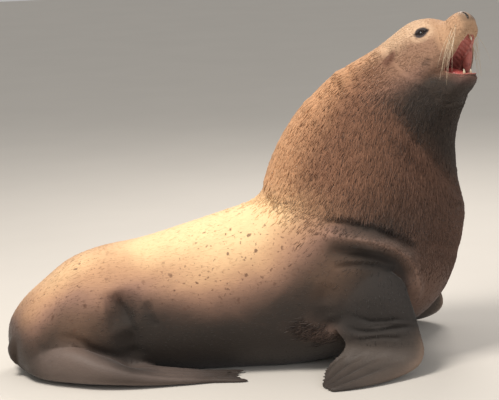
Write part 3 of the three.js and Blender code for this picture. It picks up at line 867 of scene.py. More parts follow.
# height, in metres, at which the flank turns dark, along the trunk: partly the coat's own darker belly, partly
# painted shade of the light from above
darkAt = [[-1.2, 0.14], [-0.95, 0.27], [-0.78, 0.38], [-0.55, 0.42], [-0.3, 0.39], [0.0, 0.37], [0.22, 0.46],
          [0.335, 0.59], [0.45, 0.67], [0.62, 0.78], [0.8, 0.82], [1.0, 0.80], [1.2, 0.7]]
# the flank's tones from the belly up: how far above that height each starts and is full
flankBands = [("umber", -0.10, 0.0), ("rosy", -0.02, 0.07), ("tan", 0.04, 0.14), ("cream", 0.12, 0.27)]
fringe = {"line": [[352, -385, 232], [405, -377, 208], [470, -359, 194]], "width": 0.03}  # hair behind the arm
warmSpots = [(-0.76, -0.37, 0.30, 0.12), (-0.72, 0.33, 0.30, 0.12), (0.46, -0.40, 0.50, 0.10)]  # thighs, shoulder
# painted shade in the folds' hollows and a painted highlight along the shoulder's ridge: which fold, the tone, its
# width in mm, how much
foldShadeAndHighlight = [("aboveRidge", "charcoal", 30, 0.75), ("underRidge", "charcoal", 28, 0.8),
             ("armpit", "charcoal", 50, 0.6), ("hipHollow", "charcoal", 52, 0.7),
             ("armTop", "dark", 10, 0.5), ("ankle", "dark", 14, 0.6),
             ("hipFold", "dark", 12, 0.5), ("hipFoldFore", "dark", 10, 0.45), ("wristUpper", "dark", 8, 0.5),
             ("wristLower", "dark", 8, 0.55), ("wristHand", "dark", 7, 0.4), ("shoulderRidge", "ridge", 24, 0.8)]


def blend(base, colour, amount):
    amount = np.clip(np.asarray(amount, float), 0, 1)[:, None]
    return base * (1 - amount) + colour * amount


def layered(co, first, *layers):  # a colour for every vertex, then others over it, each with how much
    colour = np.repeat(coat[first][None, :], len(co), 0) if isinstance(first, str) else first
    for name, amount in layers:
        colour = blend(colour, coat[name], amount)
    return colour


def fringeAt(co):  # where the longer hair behind the arm stands, on the right
    far = fromLine(np.array(fringe["line"]) * [1, 0, 1], co * [1, 0, 1])[0]
    return bump(far, 0, fringe["width"]) * (co[:, 1] < -0.2)


# slanting edges, looking at the side: a point on each, x and z in metres, and the way across it
napeEdge, throatEdge = [(0.15, 0.828), (0.206, 0.978)], [(0.767, 1.311), (0.797, 0.604)]


def past(edge, co):  # how far beyond a slanting edge, in metres
    (x, z), (forth, up) = edge
    return forth * (co[:, 0] - x) + up * (co[:, 2] - z)


def maneColours(co, colour, high, wobble):  # from the notch of the nape up: gold nape, brown side, dark front
    x, z = co[:, 0], co[:, 2]
    aboveNotch = past(napeEdge, co) + 0.6 * wobble
    mane = step(aboveNotch + 0.20 * step(x, 0.62, 0.95), -0.08, 0.12)
    front = step(x + 0.25 * (0.9 - z), 0.78, 1.02)
    hair = layered(co, "mane", ("maneDark", step(0.35 - high + 2 * wobble, 0.0, 0.7)),
                   ("maneGold", 0.85 * step(high + wobble, 0.5, 0.98)),
                   ("tan", 0.8 * step(0.20 - aboveNotch, 0, 0.2) * step(0.62 - x, 0, 0.3)),
                   ("throat", 0.8 * step(x, 0.40, 0.64) * step(0.91 - z, 0, 0.15)),
                   ("breast", front * step(1.02 - z, 0, 0.35)))
    colour = blend(colour, hair, mane)
    return blend(colour, coat["breast"], front * step(0.9 - z, 0, 0.2) * step(z, 0.1, 0.3)), mane


def throatShade(co, colour, wobble):  # painted shade under the jaw and down the throat: dark, in front of a slanting edge below the cheek
    forward, up, _ = toHead(co)
    edge = past(throatEdge, co) + 0.035 + 0.4 * wobble
    chin = step(up + 0.12 * forward + 0.7 * np.maximum(forward - 200, 0), -175, -75) * step(forward, -40, 60)
    throat = step(edge, 0.0, 0.10) * (1 - chin) * step(co[:, 2], 0.78, 0.95) * step(-up - 0.12 * forward, 60, 150)
    return blend(colour, coat["throat"], throat)


def headColours(co, colour, wobble):
    forward, up, across = toHead(co)
    face = layered(co, "cheek", ("rosy", step(-up, 60, 150) * step(280 - forward, 0, 160) * 0.9),
                   ("umber", 0.85 * step(-up, 90, 190)),
                   ("crown", step(up + 0.10 * forward + 450 * wobble, 20, 95)),
                   ("muzzle", step(forward + 0.25 * up, 262, 345) * step(up, -185, -90)))
    jaw = step(up + 0.9 * (forward - 260), -290, -200) * step(forward, 230, 300)
    # painted shade in the hollow of the cheek
    spot = np.exp(-(((forward - 224) / 20) ** 2 + ((up + 103) / 17) ** 2)) * step(np.abs(across), 60, 90)
    nose = step(forward + 0.25 * up, 446, 462) * step(up, -38, -20)
    colour = blend(colour, face, step(forward, -60, 90) * step(up, -190, -110))
    colour = layered(co, colour, ("lip", 0.55 * step(-up, 170, 215) * jaw * step(forward, 250, 300)),
                     ("umber", 0.8 * spot), ("nose", 0.7 * nose))
    return colour, nose


def limbColours(co, colour, near):  # flippers, toes, tail and ears, and how bare they are
    fore, hind, toes, ears = (onShell(near, name) for name in ("fore", "hind", "toe", "ear"))
    row = near["row"]
    leading = step(np.cos(near["angle"] * 2 * math.pi), 0.80, 0.98)
    arm = layered(co, "arm", ("hand", step(row, 0.34, 0.6)), ("fingertip", step(row, 0.75, 1.0)),
                  ("edge", 0.85 * leading * step(row, 0.36, 0.48) * step(1 - row, 0.05, 0.3)))
    foot = layered(co, "heel", ("hind", step(row, 0.08, 0.25)), ("fingertip", 0.6 * step(row, 0.75, 1.0)))
    toe = layered(co, "fingertip", ("heel", step(row, 0.4, 1.0)))
    tip = layered(co, "ear", ("umber", 0.5 * step(row, 0.3, 1.0)))
    for where, tone in ((fore, arm), (hind, foot), (toes, toe)):
        colour = np.where(where[:, None], tone, colour)
    colour = blend(colour, coat["heel"], onShell(near, "tail"))
    colour = np.where(ears[:, None], tip, colour)
    # painted shade: dark lines in the valleys between the finger and toe bones
    colour = layered(co, colour,
                     ("dark", 0.6 * fore * step(-fingerComb(near), 0.2, 0.9) * step(row, 0.55, 0.75)),
                     ("heel", 0.7 * hind * step(-toeComb(near), 0.2, 0.9) * step(row, 0.35, 0.6)))
    return colour, fore * step(row, 0.42, 0.6) + (hind | toes) * step(row, 0.15, 0.35) + toes, ears


def foldShadeHighlightAndSpots(co, colour):  # painted shade in the hollows and a painted highlight on the shoulder's ridge, measured along each side; then warm spots and the paler hair behind the arm
    flat = co * [1, 0, 1]
    for name, tone, width, amount in foldShadeAndHighlight:
        line = np.array(folds[name][2]) * [1, 0, 1]
        for way, shift in ((-1, 0), (1, leftShift[name])):
            far, along = fromLine(line + [shift, 0, 0], flat)
            ends = step(along, 0, 0.2) * step(1 - along, 0, 0.15) * (co[:, 1] * way > 0.12)
            colour = blend(colour, coat[tone], amount * ends * bump(far, 0, width * mm))
    for cx, cy, cz, size in warmSpots:
        warm = bump(np.linalg.norm(co - np.array([cx, cy, cz]), axis=1), 0, size)
        colour = blend(colour, coat["cheek"] * 0.8, 0.55 * warm)
    return blend(colour, coat["ridge"], 0.6 * fringeAt(co))


def markingsAndPaintedLight(co, near):  # the coat's colour at each vertex, with painted shade and a painted highlight laid in, and how much of it is mane or bare skin
    forward, up, _ = toHead(co)
    x, z = co[:, 0], co[:, 2]
    high = np.where(near["shell"] == 0, np.sin(near["angle"] * 2 * math.pi), 0)  # 1 along the back
    wobble = 0.035 * waves(co, 0.3, 7) + 0.012 * waves(co, 0.09, 8)  # so that no edge between tones is straight
    # colour by height: dark low on the flank and cream on top, partly the coat's own tones, partly painted shade and
    # painted top light
    level = z - np.interp(x, *np.array(darkAt).T) + wobble
    colour = layered(co, "charcoal", *((name, step(level, start, full)) for name, start, full in flankBands))
    colour, mane = maneColours(co, colour, high, wobble)
    colour, nose = headColours(co, throatShade(co, colour, wobble), wobble)
    colour, bare, ears = limbColours(co, colour, near)
    colour = blend(colour, coat["heel"], 0.85 * step(-x, 0.93, 1.05) * step(0.42 - z, 0, 0.22))  # rump
    colour = foldShadeHighlightAndSpots(co, colour)
    mane = mane * (1 - step(forward, -90, 70) * step(up, -260, -200))
    return colour, mane, np.clip(bare + nose + ears, 0, 1)


def faceColours(co, colour, depth, normals):  # ears, lids, lips and the inside of the mouth
    forward, up, across = toHead(co)
    inside = step(depth, -1.0, 3.0)
    inwards = inHead(330, -150, 0) - co  # towards the mouth's middle: its far wall is part of the cheek
    inwards /= np.linalg.norm(inwards, axis=1, keepdims=True)
    inside = np.maximum(inside, step((normals * inwards).sum(1), 0.15, 0.5) * step(depth, -24, -17)
                        * step(440 - forward, 0, 30) * step(up + 0.9 * forward, -20, 30))
    flesh = layered(co, "mouth", ("gullet", step(330 - forward, 0, 130)), ("gum", 0.6 * bump(depth, 6, 5)),
                    ("gullet", 0.5 * step(waves(co, 0.035, 21), 0.2, 1.2)))
    colour = blend(colour, coat["lip"], 0.75 * bump(depth, -3, 5) * (depth > -40))
    colour = blend(colour, flesh, inside)
    face = np.stack([forward, up, np.abs(across)], 1) * mm
    far = fromLine([ear["root"], ear["tip"]], face)[0] / mm
    colour = blend(colour, coat["ear"], 0.92 * (1 - step(far, 15, 25)))
    # painted shade: near-black down the nostril slits
    far = fromLine(faceFolds["nostril"][2], face)[0] / mm
    colour = blend(colour, coat["dark"], 0.95 * (1 - step(far, 6.5, 11)))
    for side in (-1, 1):
        middle, front, above, out = eyeFrame(side)
        q = (co - middle) / mm
        x, y = q @ front, q @ above
        far = np.hypot(x / 1.25, y)
        near = q @ out > -8
        colour = blend(colour, coat["crown"] * 1.04, 0.5 * bump(far, 42, 12) * near)
        colour = blend(colour, coat["lid"], near * (1 - step(far, 23, 34)))
        tear = np.exp(-(((x - 30) / 9) ** 2 + ((y + 8) / 6) ** 2))
        colour = blend(colour, coat["lid"], 0.8 * tear * near)
    return colour, inside


def store(mesh, name, values, kind="FLOAT"):  # an attribute of the vertices
    old = mesh.attributes.get(name)
    if old:
        mesh.attributes.remove(old)
    layer = mesh.attributes.new(name, kind, "POINT")
    values = np.asarray(values, np.float32)
    if kind == "FLOAT_COLOR":
        values = np.concatenate([values, np.ones((len(values), 1), np.float32)], 1)
        layer.data.foreach_set("color", values.ravel())
    else:
        layer.data.foreach_set("value" if kind == "FLOAT" else "vector", values.ravel())


skin = joinedShells()
roundJoins(skin)
addFolds(skin)
addFace(skin)
thinOut(skin)
mesh = skin.data
co, ends = pointsOf(mesh), edgesOf(mesh)
co[:, 2] = np.maximum(co[:, 2], 0.4 * mm)  # where it rests it lies flat, just above the floor
near = nearestOnShells(co)
depth = mouthDepth(co, headZone(co) > 0.3)
depth = smoothed(depth[:, None], ends, 0.5 * (depth > -40), 2)[:, 0]
colour, mane, bare = markingsAndPaintedLight(co, near)
colour = smoothed(colour, ends, 0.5, 6)
colour, wet = faceColours(co, colour, depth, normalsOf(mesh))
colour = smoothed(colour, ends, 0.4, 1)
bare = smoothed(bare[:, None], ends, 0.5, 6)[:, 0]
mane = smoothed(mane[:, None], ends, 0.5, 4)[:, 0]
lay = smoothed(near["lay"], ends, 0.6, 25)
# the skin lies under its coat by the coat's depth, in mm, but not where the belly rests
coatDepth = {"mane": 12, "short": 2.5, "floor": 0.06}
under = (coatDepth["mane"] * mane + coatDepth["short"] * (1 - mane) * (1 - bare)) * (1 - wet)
under = under * step(co[:, 2], 0.0, coatDepth["floor"]) * mm
setPoints(mesh, co)
co = co - normalsOf(mesh) * smoothed(under[:, None], ends, 0.5, 5)
setPoints(mesh, co)
# the coat's colour, with its painted shade and painted highlight
store(mesh, "marking", colour, "FLOAT_COLOR")
store(mesh, "bare", bare)
store(mesh, "mane", mane)
print("markingsAndPaintedLight")


# materials

def add(tree, kind, inputs=None, **settings):  # a shader or geometry node with its settings, values and links
    made = tree.nodes.new(kind)
    for key, value in settings.items():
        setattr(made, key, value)
    for key, value in (inputs or {}).items():
        if isinstance(value, bpy.types.NodeSocket):
            tree.links.new(value, made.inputs[key])
        else:
            made.inputs[key].default_value = value
    return made


def newMaterial(name):
    material = bpy.data.materials.new(name)
    material.use_nodes = True
    tree = material.node_tree
    tree.nodes.clear()
    shader = add(tree, "ShaderNodeBsdfPrincipled")
    add(tree, "ShaderNodeOutputMaterial", {"Surface": shader.outputs["BSDF"]})
    return material, tree, shader, add(tree, "ShaderNodeTexCoord").outputs["Object"]


def mathNode(tree, kind, a, b=0.5, clamp=False):
    return add(tree, "ShaderNodeMath", {0: a, 1: b}, operation=kind, use_clamp=clamp).outputs[0]


def scaled(tree, value, factor, plus):  # value times factor, plus an amount
    return add(tree, "ShaderNodeMath", {0: value, 1: factor, 2: plus}, operation="MULTIPLY_ADD").outputs[0]


def greyOf(tree, value):
    return add(tree, "ShaderNodeCombineColor", {0: value, 1: value, 2: value}).outputs[0]


def channel(tree, colour, number):
    return add(tree, "ShaderNodeSeparateColor", {0: colour}).outputs[number]


def between(tree, factor, low, high):
    return add(tree, "ShaderNodeMix", {0: factor, 2: low, 3: high}, data_type="FLOAT").outputs[0]


def noise(tree, vector, scale, detail=3.0, rough=0.55):
    return add(tree, "ShaderNodeTexNoise", {"Vector": vector, "Scale": scale, "Detail": detail,
                                            "Roughness": rough}).outputs["Fac"]


def stretched(tree, vector, turn, scale):  # coordinates turned along the lay, long that way
    return add(tree, "ShaderNodeMapping", {"Vector": vector, "Rotation": turn, "Scale": scale},
               vector_type="TEXTURE").outputs["Vector"]


def attribute(tree, name, out="Fac"):
    return add(tree, "ShaderNodeAttribute", attribute_name=name).outputs[out]


def mixed(tree, a, b, factor, blendType="MIX"):
    return add(tree, "ShaderNodeMix", {0: factor, 6: a, 7: b}, data_type="RGBA", blend_type=blendType,
               clamp_factor=True).outputs[2]


# how much the streaks and mottles darken, roughness where furred, bare and wet, heights of the bumps in metres
hide = {"streak": 0.30, "mottle": 0.22, "mottleScale": 11, "patchScale": 3.2, "shade": 0.5, "furRough": 0.74,
        "bareRough": 0.52, "wetRough": 0.22, "furBump": 0.0016, "creaseBump": 0.0022, "sheen": 0.12,
        "sheenRough": 0.45, "specular": 0.32}
# streaks: turn, then metres along and across them; the flank's run back, the mane's run down
streaks = {"flank": [(0, 0.12, 0), (0.055, 0.0055, 0.0055)], "mane": [(0, -0.95, 0), (0.060, 0.0075, 0.0075)],
           "wrinkle": [(0, 0.3, 0.4), (0.030, 0.011, 0.011)], "nicks": [(0, 0.9, 0.3), (1.5, 0.8, 1.0)]}
nickLook = {"scale": 27.0, "size": 0.44, "ragged": 0.22, "edge": 9.0, "bend": 0.03, "bendScale": 38.0,
            "speckScale": 62.0, "speckShare": 5.2, "speckFrom": -2.9, "speckEdge": 5.0, "depth": 0.75}


def nickMask(tree, place):  # scattered dark nicks and old scars, and a peppering of small specks
    look, scars = nickLook, attribute(tree, "nicks")
    bent = add(tree, "ShaderNodeTexNoise", {"Vector": place, "Scale": look["bendScale"],
                                            "Detail": 2.0}).outputs["Color"]
    bent = add(tree, "ShaderNodeVectorMath", {0: bent, 1: (look["bend"],) * 3, 2: stretched(
        tree, place, *streaks["nicks"])}, operation="MULTIPLY_ADD").outputs[0]

    def cells(scale):
        made = add(tree, "ShaderNodeTexVoronoi", {"Vector": bent, "Scale": scale, "Randomness": 1.0})
        return made.outputs["Color"], made.outputs["Distance"]

    hue, far = cells(look["scale"])
    size = mathNode(tree, "SUBTRACT", mathNode(tree, "MULTIPLY", channel(tree, hue, 0), look["size"]), 0.02)
    ragged = mathNode(tree, "SUBTRACT", scaled(tree, noise(tree, place, 90, 3), look["ragged"], far), 0.02)
    nick = mathNode(tree, "MULTIPLY", mathNode(tree, "SUBTRACT", size, ragged), look["edge"], True)
    nick = mathNode(tree, "MULTIPLY", nick, scars, True)
    hue, far = cells(look["speckScale"])
    speck = scaled(tree, channel(tree, hue, 1), look["speckShare"], look["speckFrom"])
    speck = mathNode(tree, "SUBTRACT", speck, mathNode(tree, "MULTIPLY", far, look["speckEdge"]))
    speck = mathNode(tree, "MULTIPLY", mathNode(tree, "MULTIPLY", speck, 1.6, True), scars, True)
    return mathNode(tree, "MAXIMUM", nick, mathNode(tree, "MULTIPLY", speck, 0.8))


def hideMaterial():
    material, tree, shader, place = newMaterial("hide")
    bare, mane, wet = (attribute(tree, n) for n in ("bare", "mane", "wet"))
    fine = noise(tree, stretched(tree, place, *streaks["flank"]), 1.0, 3)
    coarse = noise(tree, stretched(tree, place, *streaks["mane"]), 1.0, 4)
    streak = between(tree, mane, fine, coarse)
    mottle, patch = noise(tree, place, hide["mottleScale"], 5, 0.6), noise(tree, place, hide["patchScale"], 3)
    value = scaled(tree, streak, hide["streak"], 1 - hide["streak"] / 2)
    tone = scaled(tree, mathNode(tree, "ADD", mottle, patch), hide["mottle"], 1 - hide["mottle"])
    value = mathNode(tree, "MULTIPLY", value, tone)
    shade = scaled(tree, attribute(tree, "hairShade"), hide["shade"], 1 - hide["shade"] / 2)
    value = mathNode(tree, "MULTIPLY", value, shade)
    # base colour from the vertices: the coat's markings with painted shade and a painted highlight
    colour = mixed(tree, attribute(tree, "marking", "Color"), greyOf(tree, value), 1.0, "MULTIPLY")
    scars = mathNode(tree, "MULTIPLY", nickMask(tree, place), nickLook["depth"])
    tree.links.new(mixed(tree, colour, (*coat["nick"], 1), scars), shader.inputs["Base Color"])
    rough = between(tree, wet, between(tree, bare, hide["furRough"], hide["bareRough"]), hide["wetRough"])
    tree.links.new(scaled(tree, mottle, 0.12, rough), shader.inputs["Roughness"])
    shader.inputs["Sheen Weight"].default_value = hide["sheen"]
    shader.inputs["Sheen Roughness"].default_value = hide["sheenRough"]
    shader.inputs["Specular IOR Level"].default_value = hide["specular"]
    wrinkle = add(tree, "ShaderNodeTexVoronoi", {"Vector": stretched(tree, place, *streaks["wrinkle"]),
                                                 "Scale": 1.0}, feature="DISTANCE_TO_EDGE").outputs["Distance"]
    wrinkle = mathNode(tree, "MULTIPLY", mathNode(tree, "MINIMUM", wrinkle, 0.25), bare)
    furHeight = mathNode(tree, "MULTIPLY", mathNode(tree, "ADD", streak, mathNode(tree, "MULTIPLY", mottle, 0.5)),
                         mathNode(tree, "SUBTRACT", 1.0, mathNode(tree, "MULTIPLY", bare, 0.7)))
    fur = add(tree, "ShaderNodeBump", {"Height": furHeight, "Distance": hide["furBump"], "Strength": 0.8})
    crease = add(tree, "ShaderNodeBump", {"Height": wrinkle, "Distance": hide["creaseBump"], "Strength": 0.8,
                                          "Normal": fur.outputs[0]})
    tree.links.new(crease.outputs[0], shader.inputs["Normal"])
    return material


hideSurface = hideMaterial()
skin.data.materials.clear()
skin.data.materials.append(hideSurface)
x, y, z = co.T
# nicks: along the old scar, high on the flank, on the rump, low on the flank
scar = [[3, -75, 753], [26, -201, 713], [42, -288, 636], [68, -336, 571]]
nicks = 1.3 * bump(fromLine(scar, co)[0], 0, 0.03) + bump(z, 0.62, 0.20) * bump(x, 0.10, 0.42) \
    + 0.9 * step(-x, 0.45, 0.8) * step(z, 0.2, 0.35) + 0.8 * bump(z, 0.42, 0.12) * bump(x, -0.2, 0.3)
store(skin.data, "nicks", np.clip(nicks * (1 - bare), 0, 1))
store(skin.data, "hairShade", np.full(len(co), 0.5))
store(skin.data, "wet", wet)
skin.data.shade_smooth()


# the coat: tufts rooted on the skin, lying the way the coat lies

def tuftShape(name, bend):  # one lock: a thin three-sided blade along X, 1 long, 1 wide, rising and dipping
    points, spots = [], []
    for along, wide, thick, rise in bend[:-1]:
        for k in range(3):
            a = math.pi / 2 + k * 2 * math.pi / 3
            points.append([along, 0.5 * wide * math.cos(a) * 1.155, rise + thick * math.sin(a)])
            spots.append([along - 0.5, (k - 1) * 0.3, 0])
    points.append([bend[-1][0], 0, bend[-1][3]])
    spots.append([bend[-1][0] - 0.5, 0, 0])
    faces = [[2, 1, 0]]
    for r in range(len(bend) - 2):
        for k in range(3):
            a, b = r * 3 + k, r * 3 + (k + 1) % 3
            faces.append([a, b, b + 3, a + 3])
    last = (len(bend) - 2) * 3
    for k in range(3):
        faces.append([last + k, last + (k + 1) % 3, last + 3])
    obj = meshObject(name, points, faces)
    store(obj.data, "spot", spots, "FLOAT_VECTOR")
    store(obj.data, "tip", [p[0] for p in points])
    obj.data.shade_smooth()
    return obj


def geometryInput(tree, name, kind, value=None):
    socket = tree.interface.new_socket(name=name, in_out="INPUT", socket_type=kind)
    if value is not None:
        socket.default_value = value
    return socket.identifier


def namedIn(tree, name, kind="FLOAT"):
    return add(tree, "GeometryNodeInputNamedAttribute", {"Name": name}, data_type=kind).outputs["Attribute"]


bakePatch = 0.003  # the side of a tuft's patch on the UV map
# what each tuft draws: from, to, added to the piece's seed
draws = {"turn": (-0.5, 0.5, 5), "length": (0.7, 1.3, 11), "width": (0.6, 1.3, 17), "lift": (0.6, 1.5, 23),
         "tone": (-0.5, 0.5, 31)}
contrast = {"maneTuft": 0.9, "shortTuft": 0.3}  # how much the tufts' tones differ


def tuftTree():
    tree = bpy.data.node_groups.new("tufts", "GeometryNodeTree")
    tree.interface.new_socket(name="Geometry", in_out="OUTPUT", socket_type="NodeSocketGeometry")
    keys = {"Skin": geometryInput(tree, "Skin", "NodeSocketGeometry")}
    for name, kind, value in (
        ("Tuft", "NodeSocketObject", None), ("Hide", "NodeSocketMaterial", None),
        ("Per square metre", "NodeSocketFloat", 20000.0), ("Length", "NodeSocketFloat", 0.04),
        ("Width", "NodeSocketFloat", 0.007), ("Lift", "NodeSocketFloat", 0.2),
        ("Scatter", "NodeSocketFloat", 0.25), ("Contrast", "NodeSocketFloat", 0.5), ("Seed", "NodeSocketInt", 1),
    ):
        keys[name] = geometryInput(tree, name, kind, value)
    given = add(tree, "NodeGroupInput").outputs

    def named(name, kind="FLOAT"):
        return namedIn(tree, name, kind)

    def maths(kind, a, b=0.5):
        return add(tree, "ShaderNodeMath", {0: a, 1: b}, operation=kind).outputs[0]

    def chance(name):
        low, high, seed = draws[name]
        return add(tree, "FunctionNodeRandomValue", {2: low, 3: high, "Seed": maths("ADD", given["Seed"], seed)},
                   data_type="FLOAT").outputs[1]

    spread = add(tree, "GeometryNodeDistributePointsOnFaces",
                 {"Mesh": given["Skin"], "Density": maths("MULTIPLY", named("thick"), given["Per square metre"]),
                  "Seed": given["Seed"]}, distribute_method="RANDOM")
    facing = add(tree, "FunctionNodeAxesToRotation",
                 {"Primary Axis": spread.outputs["Normal"], "Secondary Axis": named("lay", "FLOAT_VECTOR")},
                 primary_axis="Z", secondary_axis="X").outputs[0]
    place = add(tree, "GeometryNodeInputPosition").outputs[0]
    drift = add(tree, "ShaderNodeTexNoise", {"Vector": place, "Scale": 14.0, "Detail": 1.0}).outputs["Fac"]
    angle = maths("MULTIPLY", maths("ADD", maths("SUBTRACT", drift, 0.5), chance("turn")), given["Scatter"])
    turned = add(tree, "FunctionNodeRotateRotation",
                 {"Rotation": facing, "Rotate By": add(tree, "FunctionNodeAxisAngleToRotation",
                  {"Axis": (0, 0, 1), "Angle": angle}).outputs[0]}, rotation_space="LOCAL").outputs[0]
    length = maths("MULTIPLY", maths("MULTIPLY", given["Length"], named("long")), chance("length"))
    width = maths("MULTIPLY", maths("MULTIPLY", given["Width"], chance("width")),
                  maths("ADD", maths("MULTIPLY", named("long"), 0.6), 0.4))
    size = add(tree, "ShaderNodeCombineXYZ",
               {"X": length, "Y": width, "Z": maths("MULTIPLY", maths("MULTIPLY", length, given["Lift"]),
                                                    chance("lift"))}).outputs[0]
    tone = maths("ADD", maths("MULTIPLY", chance("tone"), given["Contrast"]), 0.5)
    toned = add(tree, "GeometryNodeStoreNamedAttribute",
                {"Geometry": spread.outputs["Points"], "Name": "hairShade", "Value": tone},
                data_type="FLOAT", domain="POINT").outputs[0]
    shape = add(tree, "GeometryNodeObjectInfo", {"Object": given["Tuft"]}).outputs["Geometry"]
    tufts = add(tree, "GeometryNodeInstanceOnPoints",
                {"Points": toned, "Instance": shape, "Rotation": turned, "Scale": size}).outputs[0]
    real = add(tree, "GeometryNodeRealizeInstances", {"Geometry": tufts}).outputs[0]
    patch = add(tree, "ShaderNodeVectorMath",
                {0: named("spot", "FLOAT_VECTOR"), 1: (bakePatch, bakePatch, 0.0),
                 2: named("root", "FLOAT_VECTOR")}, operation="MULTIPLY_ADD").outputs[0]
    mapped = add(tree, "GeometryNodeStoreNamedAttribute", {"Geometry": real, "Name": "OFBake", "Value": patch},
                 data_type="FLOAT2", domain="CORNER").outputs[0]
    painted = add(tree, "GeometryNodeSetMaterial", {"Geometry": mapped, "Material": given["Hide"]}).outputs[0]
    add(tree, "NodeGroupOutput", {0: painted})
    return tree, keys


def chartOf(near):  # an unwrap of the skin's own shape: each shell rolled out flat, in its own place
    charts = {"body": (0.01, 0.01, 0.97, 0.60), "skull": (0.01, 0.63, 0.30, 0.24), "jaw": (0.33, 0.63, 0.2, 0.14),
              "pad": (0.33, 0.79, 0.10, 0.08), "cheek": (0.45, 0.79, 0.08, 0.06), "tail": (0.01, 0.89, 0.1, 0.05),
              "fore": (0.55, 0.63, 0.21, 0.16), "foreLeft": (0.78, 0.63, 0.21, 0.16),
              "hind": (0.55, 0.81, 0.21, 0.13), "hindLeft": (0.78, 0.81, 0.21, 0.13)}
    out = np.zeros((len(near["row"]), 2))
    for k, shell in enumerate(shells):
        x, y, w, h = charts.get(shell["name"], (0.15, 0.90, 0.1, 0.05))
        mine = near["shell"] == k
        out[mine] = np.stack([x + w * near["row"][mine], y + h * ((near["angle"][mine] + 0.25) % 1)], 1)
    return out


def storeChart(mesh, chart):  # on the corners, where a face across a seam keeps to one side of it
    corner = taken(mesh.loops, "vertex_index", 1, np.int32)[:, 0]
    start, total = (taken(mesh.polygons, name, 1, np.int32)[:, 0] for name in ("loop_start", "loop_total"))
    first = np.repeat(corner[start], total)
    spots, ref = chart[corner], chart[first]
    far = np.abs(spots - ref).max(1) > 0.03
    spots[far] = ref[far]
    layer = mesh.attributes.new("root", "FLOAT2", "CORNER")
    layer.data.foreach_set("vector", spots.astype(np.float32).ravel())


tufts, tuftKeys = tuftTree()
# how far along, how wide, how thick and how high, for one lock of each kind of coat
maneTuft = tuftShape("maneTuft", [[0, 0.7, 0.10, -0.5], [0.28, 1, 0.36, 0.35], [0.66, 0.8, 0.30, 0.5],
                                  [1, 0, 0, 0.2]])
shortTuft = tuftShape("shortTuft", [[0, 0.8, 0.10, -0.7], [0.35, 1, 0.4, 0.1], [0.7, 0.7, 0.35, 0.25],
                                    [1, 0, 0, 0.0]])

# where each kind of hair grows, from 0 to 1 at each vertex
forward, up, across = toHead(co)
fur = np.clip((1 - bare) * (1 - wet), 0, 1) * (z > 0.015)
face = step(forward, -20, 120) * step(up + 0.2 * forward, -250, -180)
face = np.maximum(face, step(forward, 130, 240) * step(up + 1.1 * forward, -190, -110))
underJaw = step(forward, -60, 200) * step(up + 0.9 * forward, -420, -120)
eyeClear = step(toEye(co), 34, 46)
lipClear = 1 - bump(np.clip(depth, -60, 60), 0, 9)
onArm = onShell(near, "fore")
maneHair = mane * fur * (1 - face) * lipClear * ~onArm
nearHead = step(forward, -90, -20) * step(up + 0.3 * forward, -330, -290)
face = np.maximum(face, nearHead * (1 - mane))
faceHair = face * fur * eyeClear * lipClear * (forward < 470)
faceReach = 0.55 + 0.45 * step(300 - forward, 0, 200)
shortHair = fur * (1 - mane) * (1 - face)
wholeCoat = 1 - 0.62 * underJaw
upperMane = ((z >= 0.86) & (x > 0.62)) | ((z >= 0.98) & (x <= 0.62))
store(mesh, "lay", lay, "FLOAT_VECTOR")
storeChart(mesh, chartOf(near))
# which tuft, how many to a square metre, length, width, lift, scatter, where, how long there
inFront = 0.35 + 0.65 * step(mane, 0.3, 1.0) * step(z, 0.5, 0.85)
onTrunk = 0.7 + 0.3 * step(z, 0.2, 0.5)
coatPieces = {
    "maneChest": [maneTuft, 30000, 0.050, 0.0060, 0.12, 0.6, maneHair * (z < 0.70) * (x > 0.62), inFront],
    "maneBreast": [maneTuft, 30000, 0.056, 0.0062, 0.13, 0.7,
                   maneHair * (z >= 0.70) * (z < 0.86) * (x > 0.62), inFront],
    "maneShoulder": [maneTuft, 32000, 0.056, 0.0062, 0.13, 0.7, maneHair * (z < 0.98) * (x <= 0.62),
                     0.5 + 0.5 * step(mane, 0.4, 1.0)],
    "maneMiddle": [maneTuft, 32000, 0.062, 0.0064, 0.13, 0.7, maneHair * upperMane * (z < 1.06), wholeCoat],
    "maneUpper": [maneTuft, 32000, 0.060, 0.0062, 0.13, 0.7, maneHair * upperMane * (z >= 1.06) * (z < 1.2),
                  wholeCoat],
    "maneNeck": [maneTuft, 32000, 0.056, 0.0060, 0.13, 0.7, maneHair * upperMane * (z >= 1.2) * (z < 1.32),
                 wholeCoat],
    "maneNape": [maneTuft, 32000, 0.046, 0.0056, 0.13, 0.7, maneHair * (z >= 1.32), wholeCoat],
    "faceFurRight": [shortTuft, 44000, 0.016, 0.0026, 0.15, 0.4, faceHair * (across < 0), faceReach],
    "faceFurLeft": [shortTuft, 44000, 0.016, 0.0026, 0.15, 0.4, faceHair * (across >= 0), faceReach],
    "flankFur": [shortTuft, 2600, 0.026, 0.0032, 0.045, 0.3, shortHair * (x >= -0.25), onTrunk],
    "rumpFur": [shortTuft, 2600, 0.026, 0.0032, 0.045, 0.3, shortHair * (x < -0.25), onTrunk],
    "armpitFringe": [maneTuft, 18000, 0.050, 0.0034, 0.20, 0.6, fringeAt(co) * fur * ~onArm, wholeCoat],
}
firstSeed = 41  # each piece has its own, in this order


